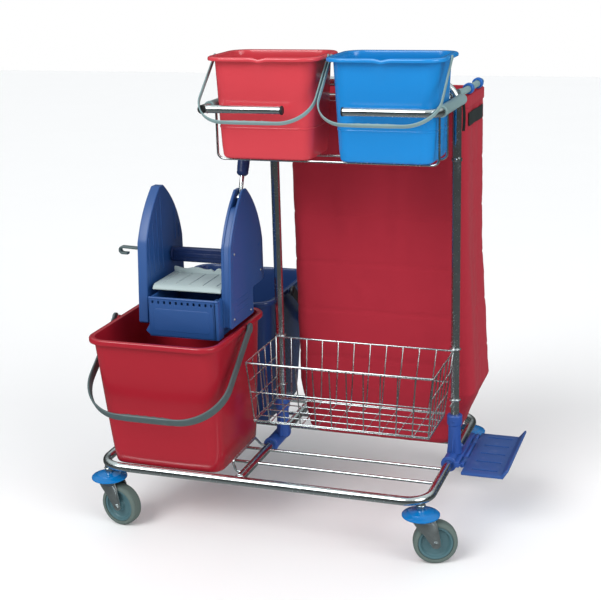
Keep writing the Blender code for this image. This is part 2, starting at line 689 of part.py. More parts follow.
def build_foot_plate():
    """The slotted step that folds up on its pin, with a raised outer lip."""
    z = PLATE_TOP - PLATE_THICKNESS / 2
    hinge = make_empty("foot_plate_hinge", (PLATE_HINGE_X, 0.0, z), ROOT)
    clear = PLATE_HINGE_RADIUS + PASSING_GAP
    width = PLATE_BACK - PLATE_FRONT
    outline = [(clear, PLATE_FRONT), (PLATE_REACH, PLATE_FRONT), (PLATE_REACH, PLATE_BACK),
               (clear, PLATE_BACK)]
    holes = []
    for k in range(PLATE_SLOTS):
        middle = PLATE_FRONT + width * (k + 0.5) / PLATE_SLOTS + 0.002
        start = clear + SLOT_INSET
        holes.append([(start, middle - PLATE_SLOT_WIDTH / 2),
                      (start + PLATE_SLOT_LENGTH, middle - PLATE_SLOT_WIDTH / 2),
                      (start + PLATE_SLOT_LENGTH, middle + PLATE_SLOT_WIDTH / 2),
                      (start, middle + PLATE_SLOT_WIDTH / 2)])
    deck = outline_mesh([outline] + holes, PLATE_THICKNESS, Matrix.Identity(4))
    plate = place(deck, "foot_plate", SOCKET_BLUE, hinge)
    lip_profile = [(PLATE_REACH - 0.004, -PLATE_THICKNESS / 2), (PLATE_REACH, -PLATE_THICKNESS / 2),
                   (PLATE_REACH + PLATE_LIP_REACH, PLATE_LIP_HEIGHT - 0.004),
                   (PLATE_REACH + PLATE_LIP_REACH, PLATE_LIP_HEIGHT),
                   (PLATE_REACH + PLATE_LIP_REACH - 0.003, PLATE_LIP_HEIGHT),
                   (PLATE_REACH - 0.004, PLATE_THICKNESS / 2)]
    lip = outline_mesh([lip_profile], width - 0.0002, FRONT_VIEW,
                       (0.0, (PLATE_FRONT + PLATE_BACK) / 2, 0.0))
    combine(plate, lip)
    for low, high in knuckle_spans():
        combine(plate, cylinder_mesh(
            PLATE_HINGE_RADIUS, high - low, "Y", (0.0, (low + high) / 2, 0.0), sides=20))
        combine(plate, box_mesh(
            (0.0, low, -WEB_THICKNESS / 2), (clear + 0.002, high, WEB_THICKNESS / 2)))
    combine(plate, cylinder_mesh(
        PLATE_PIN_RADIUS + RUNNING_GAP, width + 0.02, "Y",
        (0.0, (PLATE_FRONT + PLATE_BACK) / 2, 0.0), sides=16), "DIFFERENCE")


# -------------------------------------------------------------- buckets

def bucket_shell(rim, foot, lean, bottom, height, wall, flange, corner, centre):
    """A tapered bucket and its rim: rim, foot and flange are pairs of sizes."""
    flange_width, flange_height = flange
    top = bottom + height - wall / 2
    body = (rim[0] - 2 * flange_width, rim[1] - 2 * flange_width)
    cx, cy = centre
    roll = 0.35 * corner
    sections = []
    for share, inset in ((0.0, 0.008), (0.005 / height, 0.002), (0.012 / height, 0.0), (1.0, 0.0)):
        length = foot[0] + (body[0] - foot[0]) * share - 2 * inset
        depth = foot[1] + (body[1] - foot[1]) * share - 2 * inset
        y = cy + lean * (1 - share)
        radius = roll + (corner - roll) * (0.5 + 0.5 * share)
        level = bottom + (top - bottom) * share
        sections.append((length, depth, radius, cx, y, level))
    shell = loft_shell(sections, wall)
    seat = 0.6 * wall
    outer = rounded_rectangle(rim[0], rim[1], corner + flange_width)
    inner = rounded_rectangle(body[0] - 2 * seat, body[1] - 2 * seat, corner)
    ring = outline_mesh([outer, inner], flange_height, Matrix.Identity(4),
                        (cx, cy, bottom + height - flange_height / 2))
    return shell, ring


def bail_mesh(half_width, reach, corner, thickness, depth, grip_length):
    """A moulded bail in its own frame: pivots on the X axis, the grip below them."""
    line = rounded_path(
        [(-half_width, 0.0, 0.0), (-half_width, -reach, 0.0), (half_width, -reach, 0.0),
         (half_width, 0.0, 0.0)], corner, steps=8)
    outer, inner = [], []
    for i, point in enumerate(line):
        ahead = line[min(i + 1, len(line) - 1)] - line[max(i - 1, 0)]
        side = Vector((ahead.y, -ahead.x, 0.0)).normalized()
        swell = 1.6 if abs(point.x) <= grip_length / 2 else 1.0
        outer.append(point + side * thickness / 2 * swell)
        inner.append(point - side * thickness / 2 * swell)
    outline = outer + inner[::-1]
    return outline_mesh([outline], depth, FRONT_VIEW)


def build_bail(
    name, finish, pivot, angle, half_width, reach, corner, thickness, depth, grip, pin_radius, pin_in
):
    """Place a bail on its pivots, hanging at an angle below the horizontal."""
    hinge = make_empty(name + "_pivot", pivot, ROOT, (angle, 0.0, 0.0))
    middle = half_width + thickness / 2
    bail = place(bail_mesh(middle, reach, corner, thickness, depth, grip), name, finish, hinge)
    for sign in (-1, 1):
        boss = cylinder_mesh(0.55 * depth, 1.2 * thickness, "X", (sign * middle, 0.0, 0.0), sides=24)
        combine(bail, boss)
        start = half_width - pin_in
        pin_length = pin_in + thickness / 2
        pin_middle = (sign * (start + pin_length / 2), 0.0, 0.0)
        pin = cylinder_mesh(pin_radius, pin_length, "X", pin_middle, sides=16)
        combine(bail, pin)
    return bail


def build_mop_bucket(name, finish, bail_finish, foot_front, bottom, facing):
    """A mop bucket with its bail; facing is -1 for the front one and 1 for the rear one."""
    if facing < 0:
        foot_middle = foot_front + BUCKET_FOOT_DEPTH / 2
        lean = BUCKET_LEAN
    else:
        foot_middle = foot_front - BUCKET_FOOT_DEPTH / 2
        lean = -BUCKET_LEAN
    rim_middle = foot_middle - lean
    shell, flange = bucket_shell(
        (BUCKET_RIM_LENGTH, BUCKET_RIM_DEPTH), (BUCKET_FOOT_LENGTH, BUCKET_FOOT_DEPTH), lean, bottom,
        BUCKET_HEIGHT, BUCKET_WALL, (BUCKET_FLANGE_WIDTH, BUCKET_FLANGE_HEIGHT), BUCKET_CORNER,
        (BUCKET_X, rim_middle))
    bucket = place(shell, name, finish)
    combine(bucket, flange)
    pivot_z = bottom + BUCKET_HEIGHT - BUCKET_FLANGE_HEIGHT / 2
    pivot_y = rim_middle - facing * BAIL_PIVOT_SHIFT
    half = BUCKET_RIM_LENGTH / 2 + BAIL_CLEARANCE
    pin_in = BAIL_CLEARANCE + 0.6 * BUCKET_FLANGE_WIDTH
    for sign in (-1, 1):
        hole = cylinder_mesh(
            BAIL_PIN_RADIUS + RUNNING_GAP, 1.4 * BUCKET_FLANGE_WIDTH, "X",
            (BUCKET_X + sign * BUCKET_RIM_LENGTH / 2, pivot_y, pivot_z), sides=16)
        combine(bucket, hole, "DIFFERENCE")
    angle = math.radians(BAIL_REST - 90) if facing < 0 else math.radians(90 - BAIL_REST)
    build_bail(
        name.replace("bucket", "bail"), bail_finish, (BUCKET_X, pivot_y, pivot_z), angle, half, BAIL_REACH,
        BAIL_CORNER, BAIL_THICKNESS, BAIL_DEPTH, BAIL_GRIP_LENGTH, BAIL_PIN_RADIUS, pin_in)


def build_pail(name, finish, x):
    """A small pail with a pouring lip and its bail."""
    shell, flange = bucket_shell(
        (PAIL_RIM_LENGTH, PAIL_RIM_DEPTH), (PAIL_FOOT_LENGTH, PAIL_FOOT_DEPTH), 0.0, PAIL_BOTTOM,
        PAIL_HEIGHT, PAIL_WALL, (PAIL_FLANGE_WIDTH, PAIL_FLANGE_HEIGHT), PAIL_CORNER, (x, PAIL_Y))
    pail = place(shell, name, finish)
    combine(pail, flange)
    body_front = PAIL_Y - PAIL_RIM_DEPTH / 2 + PAIL_FLANGE_WIDTH
    pivot_z = PAIL_BOTTOM + PAIL_HEIGHT - PAIL_FLANGE_HEIGHT / 2
    wedge = [(-SPOUT_WIDTH / 2, pivot_z), (0.0, pivot_z - SPOUT_DROP), (SPOUT_WIDTH / 2, pivot_z)]
    spout = outline_mesh([wedge], SPOUT_REACH, FRONT_VIEW, (x, body_front + PAIL_WALL - SPOUT_REACH / 2, 0.0))
    combine(pail, spout)
    pivot_y = PAIL_Y + PAIL_PIVOT_SHIFT
    for sign in (-1, 1):
        hole = cylinder_mesh(
            PAIL_PIN_RADIUS + RUNNING_GAP, 1.4 * PAIL_FLANGE_WIDTH, "X",
            (x + sign * PAIL_RIM_LENGTH / 2, pivot_y, pivot_z), sides=16)
        combine(pail, hole, "DIFFERENCE")
    build_bail(
        name + "_bail", SOFT_GREY, (x, pivot_y, pivot_z), math.radians(PAIL_BAIL_REST - 90),
        PAIL_RIM_LENGTH / 2 + PAIL_BAIL_CLEARANCE, PAIL_BAIL_REACH, PAIL_BAIL_CORNER,
        PAIL_BAIL_THICKNESS, PAIL_BAIL_DEPTH, PAIL_GRIP_LENGTH, PAIL_PIN_RADIUS,
        PAIL_BAIL_CLEARANCE + 0.6 * PAIL_FLANGE_WIDTH)


# ------------------------------------------------------------- top tray

def build_tray():
    """The bars that hold the pails, their soft sleeves, the back rail and the cradle wires."""
    back = -TUBE_RADIUS - GAP
    rail_y = back - TRAY_BAR_RADIUS - GAP
    right_line = [(TRAY_RIGHT - TRAY_RIGHT_ARM, TRAY_FRONT, TRAY_HEIGHT),
                  (TRAY_RIGHT, TRAY_FRONT, TRAY_HEIGHT), (TRAY_RIGHT, back, TRAY_HEIGHT)]
    place(tube_curve(rounded_path(right_line, TRAY_BAR_BEND, steps=5), TRAY_BAR_RADIUS),
          "tray_bar_right", STEEL)
    left_rear = rail_y - TRAY_BAR_RADIUS
    left_side = [(TRAY_LEFT, TRAY_FRONT - TRAY_BAR_RADIUS, TRAY_HEIGHT), (TRAY_LEFT, left_rear, TRAY_HEIGHT)]
    left_bar = place(tube_mesh(left_side, TRAY_BAR_RADIUS), "tray_bar_left", STEEL)
    combine(left_bar, tube_mesh(
        [(TRAY_LEFT, TRAY_FRONT, TRAY_HEIGHT), (TRAY_LEFT + TRAY_LEFT_ARM, TRAY_FRONT, TRAY_HEIGHT)],
        0.92 * TRAY_BAR_RADIUS))
    for side, x in (("right", TRAY_RIGHT), ("left", TRAY_LEFT)):
        sleeve_front = TRAY_FRONT + TRAY_BAR_BEND + SLEEVE_TAIL
        sleeve_back = rail_y - TRAY_BAR_RADIUS - SLEEVE_TAIL
        if side == "right":
            sleeve_back = back - SLEEVE_TAIL
        length = sleeve_back - sleeve_front
        middle = (sleeve_back + sleeve_front) / 2
        sleeve = place(
            cylinder_mesh(SLEEVE_RADIUS, length, "Y", (x, middle, TRAY_HEIGHT)),
            "tray_sleeve_" + side, SOFT_GREY)
        combine(sleeve, cylinder_mesh(
            TRAY_BAR_RADIUS + GAP, length + 0.02, "Y", (x, middle, TRAY_HEIGHT)), "DIFFERENCE")
    rail = [(TRAY_LEFT - TRAY_BAR_RADIUS, rail_y, TRAY_HEIGHT),
            (TRAY_RIGHT - TRAY_BAR_RADIUS - SLEEVE_RADIUS, rail_y, TRAY_HEIGHT)]
    place(tube_curve(rail, TRAY_BAR_RADIUS - GAP, resolution=4), "tray_back_rail", STEEL)

    low = PAIL_BOTTOM - GAP - CRADLE_RADIUS
    high = TRAY_HEIGHT - SLEEVE_RADIUS - GAP
    for number, y in enumerate(CRADLE_PLACES):
        left, right = TRAY_LEFT + CRADLE_INSET, TRAY_RIGHT - CRADLE_INSET
        line = [(left, y, high), (left, y, low), (right, y, low), (right, y, high)]
        place(tube_curve(rounded_path(line, CRADLE_BEND, steps=5), CRADLE_RADIUS, resolution=2),
              ("cradle_wire_front", "cradle_wire_back")[number], STEEL)


# --------------------------------------------------------------- basket

def grille_mesh(low_left, low_right, top_right, top_left, columns, rows):
    """A flat welded grille between four corners, as one plate with a hole for each cell."""
    corners = [Vector(c) for c in (low_left, low_right, top_right, top_left)]
    across = (corners[1] - corners[0]).normalized()
    normal = across.cross(corners[3] - corners[0]).normalized()
    upward = normal.cross(across)
    frame = Matrix((across, upward, normal)).transposed().to_4x4()
    frame.translation = corners[0]
    flat = [frame.inverted() @ c for c in corners]

    def blend(u, v):
        lower = flat[0].lerp(flat[1], u)
        upper = flat[3].lerp(flat[2], u)
        return lower.lerp(upper, v)

    outline = [(p.x, p.y) for p in flat]
    holes = []
    half = BASKET_WIRE / 2
    for i in range(columns):
        for j in range(rows):
            cell = [blend(i / columns, j / rows), blend((i + 1) / columns, j / rows),
                    blend((i + 1) / columns, (j + 1) / rows), blend(i / columns, (j + 1) / rows)]
            edge_left = BASKET_WIRE if i == 0 else half
            edge_right = BASKET_WIRE if i == columns - 1 else half
            edge_low = BASKET_WIRE if j == 0 else half
            edge_high = BASKET_WIRE if j == rows - 1 else half
            holes.append([(cell[0].x + edge_left, cell[0].y + edge_low),
                          (cell[1].x - edge_right, cell[1].y + edge_low),
                          (cell[2].x - edge_right, cell[2].y - edge_high),
                          (cell[3].x + edge_left, cell[3].y - edge_high)])
    return outline_mesh([outline] + holes, BASKET_WIRE, frame)


def build_basket():
    """Four walls and a floor of welded wire."""
    t = BASKET_WIRE / 2 + GAP
    top, low = BASKET_TOP - BASKET_WIRE / 2, BASKET_BOTTOM + 1.5 * BASKET_WIRE + GAP
    tl, tr, fl, fr = BASKET_TOP_LEFT, BASKET_TOP_RIGHT, BASKET_FOOT_LEFT, BASKET_FOOT_RIGHT
    tf, tb, ff, fb = BASKET_TOP_FRONT, BASKET_TOP_BACK, BASKET_FOOT_FRONT, BASKET_FOOT_BACK
    walls = {
        "basket_front": ((fl, ff + t, low), (fr, ff + t, low), (tr, tf + t, top), (tl, tf + t, top)),
        "basket_back": ((fr, fb - t, low), (fl, fb - t, low), (tl, tb - t, top), (tr, tb - t, top)),
    }
    for name, (a, b, c, d) in walls.items():
        place(grille_mesh(a, b, c, d, BASKET_LONG_CELLS, 2), name, STEEL)
    inset = 2 * t + 0.0008
    ends = {
        "basket_left": ((fl + t, fb - inset, low), (fl + t, ff + inset, low),
                        (tl + t, tf + inset, top), (tl + t, tb - inset, top)),
        "basket_right": ((fr - t, ff + inset, low), (fr - t, fb - inset, low),
                         (tr - t, tb - inset, top), (tr - t, tf + inset, top)),
    }
    for name, (a, b, c, d) in ends.items():
        place(grille_mesh(a, b, c, d, BASKET_SHORT_CELLS, 3), name, STEEL)
    floor_z = BASKET_BOTTOM + BASKET_WIRE / 2
    place(grille_mesh((fl, ff, floor_z), (fr, ff, floor_z), (fr, fb, floor_z), (fl, fb, floor_z),
                      BASKET_LONG_CELLS, 4), "basket_floor", STEEL)


# -------------------------------------------------------------- wringer

def arc_points(start, end, bulge, steps=6):
    """Points of a circular arc from start to end, which bows to the right by bulge."""
    start, end = Vector(start), Vector(end)
    chord = end - start
    side = Vector((chord.y, -chord.x)).normalized()
    radius = (chord.length ** 2 / 4 + bulge ** 2) / (2 * bulge)
    centre = (start + end) / 2 - side * (radius - bulge)
    half = math.asin(chord.length / 2 / radius)
    along = chord.normalized()
    points = []
    for k in range(steps + 1):
        angle = half * (2 * k / steps - 1)
        points.append(centre + side * radius * math.cos(angle) + along * radius * math.sin(angle))
    return points


def housing_outline():
    """The pointed-arch side plate, as (y, z) points counter-clockwise from the front foot."""
    step_y, step_z = HOUSING_STEP
    crest_front, crest_back = HOUSING_CREST
    points = [(HOUSING_FRONT, HOUSING_BOTTOM), (step_y, HOUSING_BOTTOM), (step_y, step_z - 0.004),
              (step_y + 0.004, step_z), (HOUSING_BACK - 0.012, step_z), (HOUSING_BACK, step_z + 0.012)]
    points += arc_points((HOUSING_BACK, HOUSING_BACK_SHOULDER), (crest_back, HOUSING_TOP), HOUSING_BACK_BULGE)
    points += arc_points((crest_front, HOUSING_TOP), HOUSING_FRONT_SHOULDER, HOUSING_FRONT_BULGE)
    return points


def lever_slot_mesh():
    """The pocket in the right housing that the lever swings in."""
    pivot_y, pivot_z = LEVER_PIVOT
    clear = LEVER_BOSS_RADIUS + RUNNING_GAP
    start = math.radians(90 - LEVER_REST + LEVER_SLOT_EASE)
    end = math.radians(90 - LEVER_REST - LEVER_SWING - LEVER_SLOT_EASE)
    far = 0.10
    outline = []
    for k in range(13):
        angle = start + (math.tau - (start - end)) * k / 12
        outline.append((pivot_y + clear * math.cos(angle), pivot_z + clear * math.sin(angle)))
    outline.append((pivot_y + far * math.cos(end), pivot_z + far * math.sin(end)))
    middle = (start + end) / 2
    outline.append((pivot_y + 1.4 * far * math.cos(middle), pivot_z + 1.4 * far * math.sin(middle)))
    outline.append((pivot_y + far * math.cos(start), pivot_z + far * math.sin(start)))
    x = HOUSING_RIGHT_X - HOUSING_THICKNESS / 2
    return outline_mesh([outline], LEVER_SLOT, SIDE_VIEW, (x, 0.0, 0.0))


def build_wringer():
    """Two side housings, the strainer box, the press plate and bar, the lever and the hook."""
    half = HOUSING_THICKNESS / 2
    right_place = (HOUSING_RIGHT_X - half, 0, 0)
    right = place(outline_mesh([housing_outline()], HOUSING_THICKNESS, SIDE_VIEW, right_place),
                  "wringer_housing_right", WRINGER_BLUE)
    combine(right, lever_slot_mesh(), "DIFFERENCE")
    place(outline_mesh([housing_outline()], HOUSING_THICKNESS, SIDE_VIEW, (HOUSING_LEFT_X - half, 0, 0)),
          "wringer_housing_left", WRINGER_BLUE)

    inner_right = HOUSING_RIGHT_X - HOUSING_THICKNESS - GAP
    box = place(box_mesh((PANEL_LEFT, PANEL_FRONT, PANEL_BOTTOM), (inner_right, PANEL_BACK, PANEL_TOP)),
                "strainer_box", WRINGER_BLUE)
    combine(box, box_mesh(
        (inner_right - 0.01, PANEL_FRONT, PANEL_BOTTOM),
        (PANEL_RIGHT, HOUSING_FRONT - GAP, PANEL_TOP)))
    combine(box, box_mesh(
        (HOUSING_LEFT_X + GAP, HOUSING_FRONT + 0.01, PANEL_BOTTOM + 0.02),
        (PANEL_LEFT + 0.01, HOUSING_STEP[0] - 0.02, PANEL_BOTTOM + 0.03)))
    combine(box, box_mesh(
        (PANEL_LEFT + PANEL_WALL, PANEL_FRONT + PANEL_WALL, PANEL_BOTTOM + PANEL_WALL),
        (inner_right - PANEL_WALL, PANEL_BACK - PANEL_WALL, PANEL_TOP + 0.05)), "DIFFERENCE")
    width = inner_right - PANEL_LEFT
    for k in range(PANEL_SLOTS):
        x = PANEL_LEFT + width * (k + 0.7) / (PANEL_SLOTS + 0.4)
        slot_top = PANEL_TOP - 0.006
        combine(box, box_mesh(
            (x - PANEL_SLOT_WIDTH / 2, PANEL_FRONT - 0.01, slot_top - PANEL_SLOT_HEIGHT),
            (x + PANEL_SLOT_WIDTH / 2, PANEL_FRONT + 0.01, slot_top)), "DIFFERENCE")
    rim_back = FRONT_PIVOT_Y - BAIL_PIVOT_SHIFT + BUCKET_RIM_DEPTH / 2
    for x in (PANEL_LEFT + 0.02, inner_right - 0.02):
        combine(box, box_mesh(
            (x - HANGER_WIDTH / 2, PANEL_BACK - 0.002, RIM_TOP + GAP),
            (x + HANGER_WIDTH / 2, rim_back, RIM_TOP + GAP + HANGER_THICKNESS)))

    low = PANEL_TOP + PRESS_PLATE_LIFT
    tray = place(rounded_box_mesh(
        (PRESS_PLATE_LEFT, PRESS_PLATE_FRONT, low),
        (inner_right - 2 * RUNNING_GAP, PRESS_PLATE_BACK, low + PRESS_PLATE_THICKNESS), 0.003),
        "press_plate", PLATE_GREY)
    combine(tray, rounded_box_mesh(
        (PRESS_PLATE_LEFT + 0.001, PRESS_PLATE_BACK - PRESS_WALL, low + 0.002),
        (inner_right - 3 * RUNNING_GAP, PRESS_PLATE_BACK - 0.0002, PRESS_WALL_TOP), 0.002))

    bar = place(rounded_box_mesh(
        (HOUSING_LEFT_X + 0.001, PRESS_BAR_Y - PRESS_BAR_DEPTH / 2, PRESS_BAR_BOTTOM),
        (HOUSING_RIGHT_X - HOUSING_THICKNESS - 0.001, PRESS_BAR_Y + PRESS_BAR_DEPTH / 2,
         PRESS_BAR_BOTTOM + PRESS_BAR_HEIGHT), 0.002), "press_bar", NAVY)
    combine(bar, cylinder_mesh(
        PRESS_FLANGE_RADIUS, 0.006, "X",
        (HOUSING_LEFT_X + 0.004, PRESS_BAR_Y, PRESS_BAR_BOTTOM + PRESS_BAR_HEIGHT / 2), sides=24))

    hook_y, hook_z = HOOK_PLACE
    hook_right = HOUSING_LEFT_X - HOUSING_THICKNESS - GAP
    hook = place(box_mesh(
        (hook_right - HOOK_LENGTH, hook_y - HOOK_THICKNESS / 2, hook_z - HOOK_HEIGHT / 2),
        (hook_right, hook_y + HOOK_THICKNESS / 2, hook_z + HOOK_HEIGHT / 2)), "wringer_hook", BAIL_GREY)
    combine(hook, box_mesh(
        (hook_right - HOOK_LENGTH - 0.006, hook_y - HOOK_THICKNESS, hook_z - 0.6 * HOOK_HEIGHT),
        (hook_right - HOOK_LENGTH + 0.010, hook_y + HOOK_THICKNESS, hook_z + 0.35 * HOOK_HEIGHT)))

    x = HOUSING_RIGHT_X - HOUSING_THICKNESS / 2
    pivot = make_empty("lever_pivot", (x, *LEVER_PIVOT), ROOT, (-math.radians(LEVER_REST), 0.0, 0.0))
    boss_width = LEVER_SLOT - 2 * RUNNING_GAP
    rod_top = GRIP_START + 0.020
    lever = place(cylinder_mesh(LEVER_RADIUS, rod_top, "Z", (0, 0, rod_top / 2), sides=20),
                  "wringer_lever", STEEL, pivot)
    combine(lever, cylinder_mesh(LEVER_BOSS_RADIUS, boss_width, "X", (0, 0, 0), sides=24))
    grip = place(cylinder_mesh(
        GRIP_RADIUS, LEVER_LENGTH - GRIP_START, "Z", (0, 0, (LEVER_LENGTH + GRIP_START) / 2),
        end_radius=0.92 * GRIP_RADIUS), "lever_grip", NAVY, pivot)
    combine(grip, cylinder_mesh(
        LEVER_RADIUS + GAP, 2 * (rod_top + GAP - GRIP_START), "Z", (0, 0, GRIP_START), sides=20),
        "DIFFERENCE")


# ------------------------------------------------------------------ bag

def build_bag():
    """The laundry bag, the arm it hangs from, two clips and the webbing band."""
    width, depth = BAG_RIGHT - BAG_LEFT, BAG_BACK - BAG_FRONT
    middle = (BAG_RIGHT + BAG_LEFT) / 2
    deep = (BAG_FRONT + BAG_BACK) / 2
    bottom = BASE_HEIGHT + ROD_RADIUS + GAP
    inset = BAG_FOOT_INSET
    clamp_back = SOCKET_CLAMP_LENGTH / 2 + PASSING_GAP
    foot_front = max(BAG_FRONT, clamp_back)
    foot_depth = BAG_BACK - BAG_FOOT_TUCK - foot_front
    foot_y = foot_front + foot_depth / 2
    sections = [
        (width - 2 * inset, foot_depth, BAG_CORNER, middle, foot_y, bottom),
        (width - inset, foot_depth + 0.004, BAG_CORNER, middle + 0.003, foot_y + 0.002, bottom + 0.05),
        (width + BAG_BULGE, depth - 0.002, BAG_CORNER, middle + 0.017, deep, BAG_BULGE_HEIGHT),
        (width + 0.004, depth, BAG_CORNER, middle + 0.004, deep, 0.65),
        (width, depth, BAG_CORNER, middle, deep, BAG_TOP),
    ]
    place(loft_shell(sections, BAG_WALL), "laundry_bag", BAG_RED)

    arm_y = TUBE_RADIUS + GAP
    arm_z = BAG_TOP + CLIP_RADIUS + GAP
    arm_x = BAG_RIGHT - 0.006
    arm_line = [(UPRIGHT_RIGHT + 0.004, arm_y + BAG_ARM_RADIUS, arm_z),
                (arm_x, arm_y + BAG_ARM_RADIUS + 0.022, arm_z), (arm_x, BAG_ARM_END, arm_z)]
    arm = tube_curve(rounded_path(arm_line, BAG_ARM_BEND, steps=4), BAG_ARM_RADIUS, resolution=4)
    place(arm, "bag_arm", SOFT_GREY)
    for number, y in enumerate(CLIP_PLACES, 1):
        clip = place(cylinder_mesh(CLIP_RADIUS, CLIP_WIDTH, "Y", (arm_x, y, arm_z)),
                     "bag_clip_%d" % number, BUMPER_BLUE)
        combine(clip, cylinder_mesh(
            BAG_ARM_RADIUS + GAP, CLIP_WIDTH + 0.02, "Y", (arm_x, y, arm_z)), "DIFFERENCE")
        combine(clip, box_mesh(
            (arm_x - 0.004, y - CLIP_WIDTH, arm_z - 0.03),
            (arm_x + 0.004, y + CLIP_WIDTH, arm_z)), "DIFFERENCE")
    strap_x = BAG_RIGHT + PASSING_GAP
    place(rounded_box_mesh(
        (strap_x, BAG_FRONT + 0.030, STRAP_HEIGHT - STRAP_WIDTH / 2),
        (strap_x + STRAP_THICKNESS, BAG_BACK - 0.045, STRAP_HEIGHT + STRAP_WIDTH / 2), 0.0004, 1),
        "bag_strap", STRAP_BLACK)


build_base()
for corner_name, (corner_x, corner_y) in CASTOR_PLACES.items():
    build_castor(corner_name, corner_x, corner_y)
build_uprights()
build_socket("left_socket", UPRIGHT_LEFT, CROSS_X)
build_socket("right_socket", UPRIGHT_RIGHT, BASE_RIGHT)
build_foot_plate()
ROD_TOP = BASE_HEIGHT + ROD_RADIUS + GAP
build_mop_bucket("front_bucket", BUCKET_RED, BAIL_GREY, FRONT_BUCKET_FOOT_FRONT, ROD_TOP, -1)
FRONT_RIM_BACK = FRONT_PIVOT_Y - BAIL_PIVOT_SHIFT + BUCKET_RIM_DEPTH / 2
REAR_FOOT_BACK = FRONT_RIM_BACK + BUCKET_PARTING + BUCKET_RIM_DEPTH / 2 - BUCKET_LEAN + BUCKET_FOOT_DEPTH / 2
build_mop_bucket("rear_bucket", BUCKET_BLUE, NAVY, REAR_FOOT_BACK, BASE_HEIGHT + TUBE_RADIUS + GAP, 1)
build_pail("red_pail", PAIL_RED, RED_PAIL_X)
build_pail("blue_pail", PAIL_BLUE, BLUE_PAIL_X)
build_tray()
build_basket()
build_wringer()
build_bag()
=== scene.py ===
"""Housekeeping cart: the finished look of every piece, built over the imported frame."""

import json
import logging
import math
from dataclasses import dataclass
from enum import Enum
from typing import Callable, Iterable, Optional, Sequence

import bmesh
import bpy
from mathutils import Matrix, Vector, noise


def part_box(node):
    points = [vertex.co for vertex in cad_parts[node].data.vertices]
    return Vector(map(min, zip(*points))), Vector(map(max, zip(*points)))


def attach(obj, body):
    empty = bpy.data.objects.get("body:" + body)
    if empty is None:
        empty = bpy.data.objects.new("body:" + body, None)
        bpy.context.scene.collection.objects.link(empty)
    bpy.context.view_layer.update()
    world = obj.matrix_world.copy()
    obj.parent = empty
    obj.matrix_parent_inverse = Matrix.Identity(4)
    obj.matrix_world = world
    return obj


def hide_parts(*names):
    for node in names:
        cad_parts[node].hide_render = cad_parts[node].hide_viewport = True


LOG = logging.getLogger("housekeeping_cart")
SMOOTH_ANGLE = math.radians(32)
Colour = tuple[float, float, float]
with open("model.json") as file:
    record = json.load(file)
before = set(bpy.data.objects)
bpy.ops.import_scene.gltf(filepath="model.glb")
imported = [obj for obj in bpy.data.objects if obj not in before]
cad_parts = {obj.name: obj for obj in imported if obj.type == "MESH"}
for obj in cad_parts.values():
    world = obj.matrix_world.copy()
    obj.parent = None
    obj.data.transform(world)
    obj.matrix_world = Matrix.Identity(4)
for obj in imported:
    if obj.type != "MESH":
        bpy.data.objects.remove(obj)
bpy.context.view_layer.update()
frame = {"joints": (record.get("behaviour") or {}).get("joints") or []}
JOINTS = {joint["name"]: joint for joint in frame["joints"]}
X_AXIS, Y_AXIS, Z_AXIS = Vector((1, 0, 0)), Vector((0, 1, 0)), Vector((0, 0, 1))
UPRIGHT = Matrix.Rotation(math.pi / 2, 4, "X")
RUNNING_GAP = 0.0003


class Corner(Enum):
    """The four corners of the base that carry a castor."""

    FRONT_LEFT = "front_left"
    FRONT_RIGHT = "front_right"
    REAR_LEFT = "rear_left"
    REAR_RIGHT = "rear_right"


class Side(Enum):
    """Which way a piece faces across the cart."""

    FRONT = -1
    REAR = 1


@dataclass(frozen=True)
class Span:
    """The box that one or more frame nodes fill."""

    lo: Vector
    hi: Vector

    @classmethod
    def of(cls, *nodes: str) -> "Span":
        """The box round all the named nodes."""
        boxes = [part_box(node) for node in nodes]
        lo = Vector([min(box[0][k] for box in boxes) for k in range(3)])
        hi = Vector([max(box[1][k] for box in boxes) for k in range(3)])
        return cls(lo, hi)

    @property
    def mid(self) -> Vector:
        """The middle of the box."""
        return (self.lo + self.hi) / 2

    @property
    def size(self) -> Vector:
        """The three sides of the box."""
        return self.hi - self.lo


# ------------------------------------------------------------ shader desk


class Wire:
    """One output socket, with arithmetic that adds Math nodes to its material."""

    def __init__(self, desk: "Desk", socket: bpy.types.NodeSocket) -> None:
        """Wrap a socket of a desk's node tree."""
        self.desk = desk
        self.socket = socket

    def _math(self, operation: str, first: object, second: object = 0.0) -> "Wire":
        """Add one Math node and return its result."""
        return self.desk.node("ShaderNodeMath", {"operation": operation}, {0: first, 1: second})

    def __add__(self, other: object) -> "Wire":
        """self + other."""
        return self._math("ADD", self, other)

    def __radd__(self, other: object) -> "Wire":
        """other + self."""
        return self._math("ADD", other, self)

    def __sub__(self, other: object) -> "Wire":
        """self - other."""
        return self._math("SUBTRACT", self, other)

    def __rsub__(self, other: object) -> "Wire":
        """other - self."""
        return self._math("SUBTRACT", other, self)

    def __mul__(self, other: object) -> "Wire":
        """self * other."""
        return self._math("MULTIPLY", self, other)

    def __rmul__(self, other: object) -> "Wire":
        """other * self."""
        return self._math("MULTIPLY", other, self)

    def above(self, edge: float, soft: float) -> "Wire":
        """A mask that rises from 0 to 1 over soft, centred on edge."""
        ranged = {"clamp": True, "interpolation_type": "SMOOTHSTEP"}
        return self.desk.node("ShaderNodeMapRange", ranged, {0: self, 1: edge - soft / 2, 2: edge + soft / 2})

    def ridge(self, pitch: float) -> "Wire":
        """0 on every multiple of pitch and 1 half-way between them."""
        return self._math("PINGPONG", self, pitch / 2) * (2 / pitch)


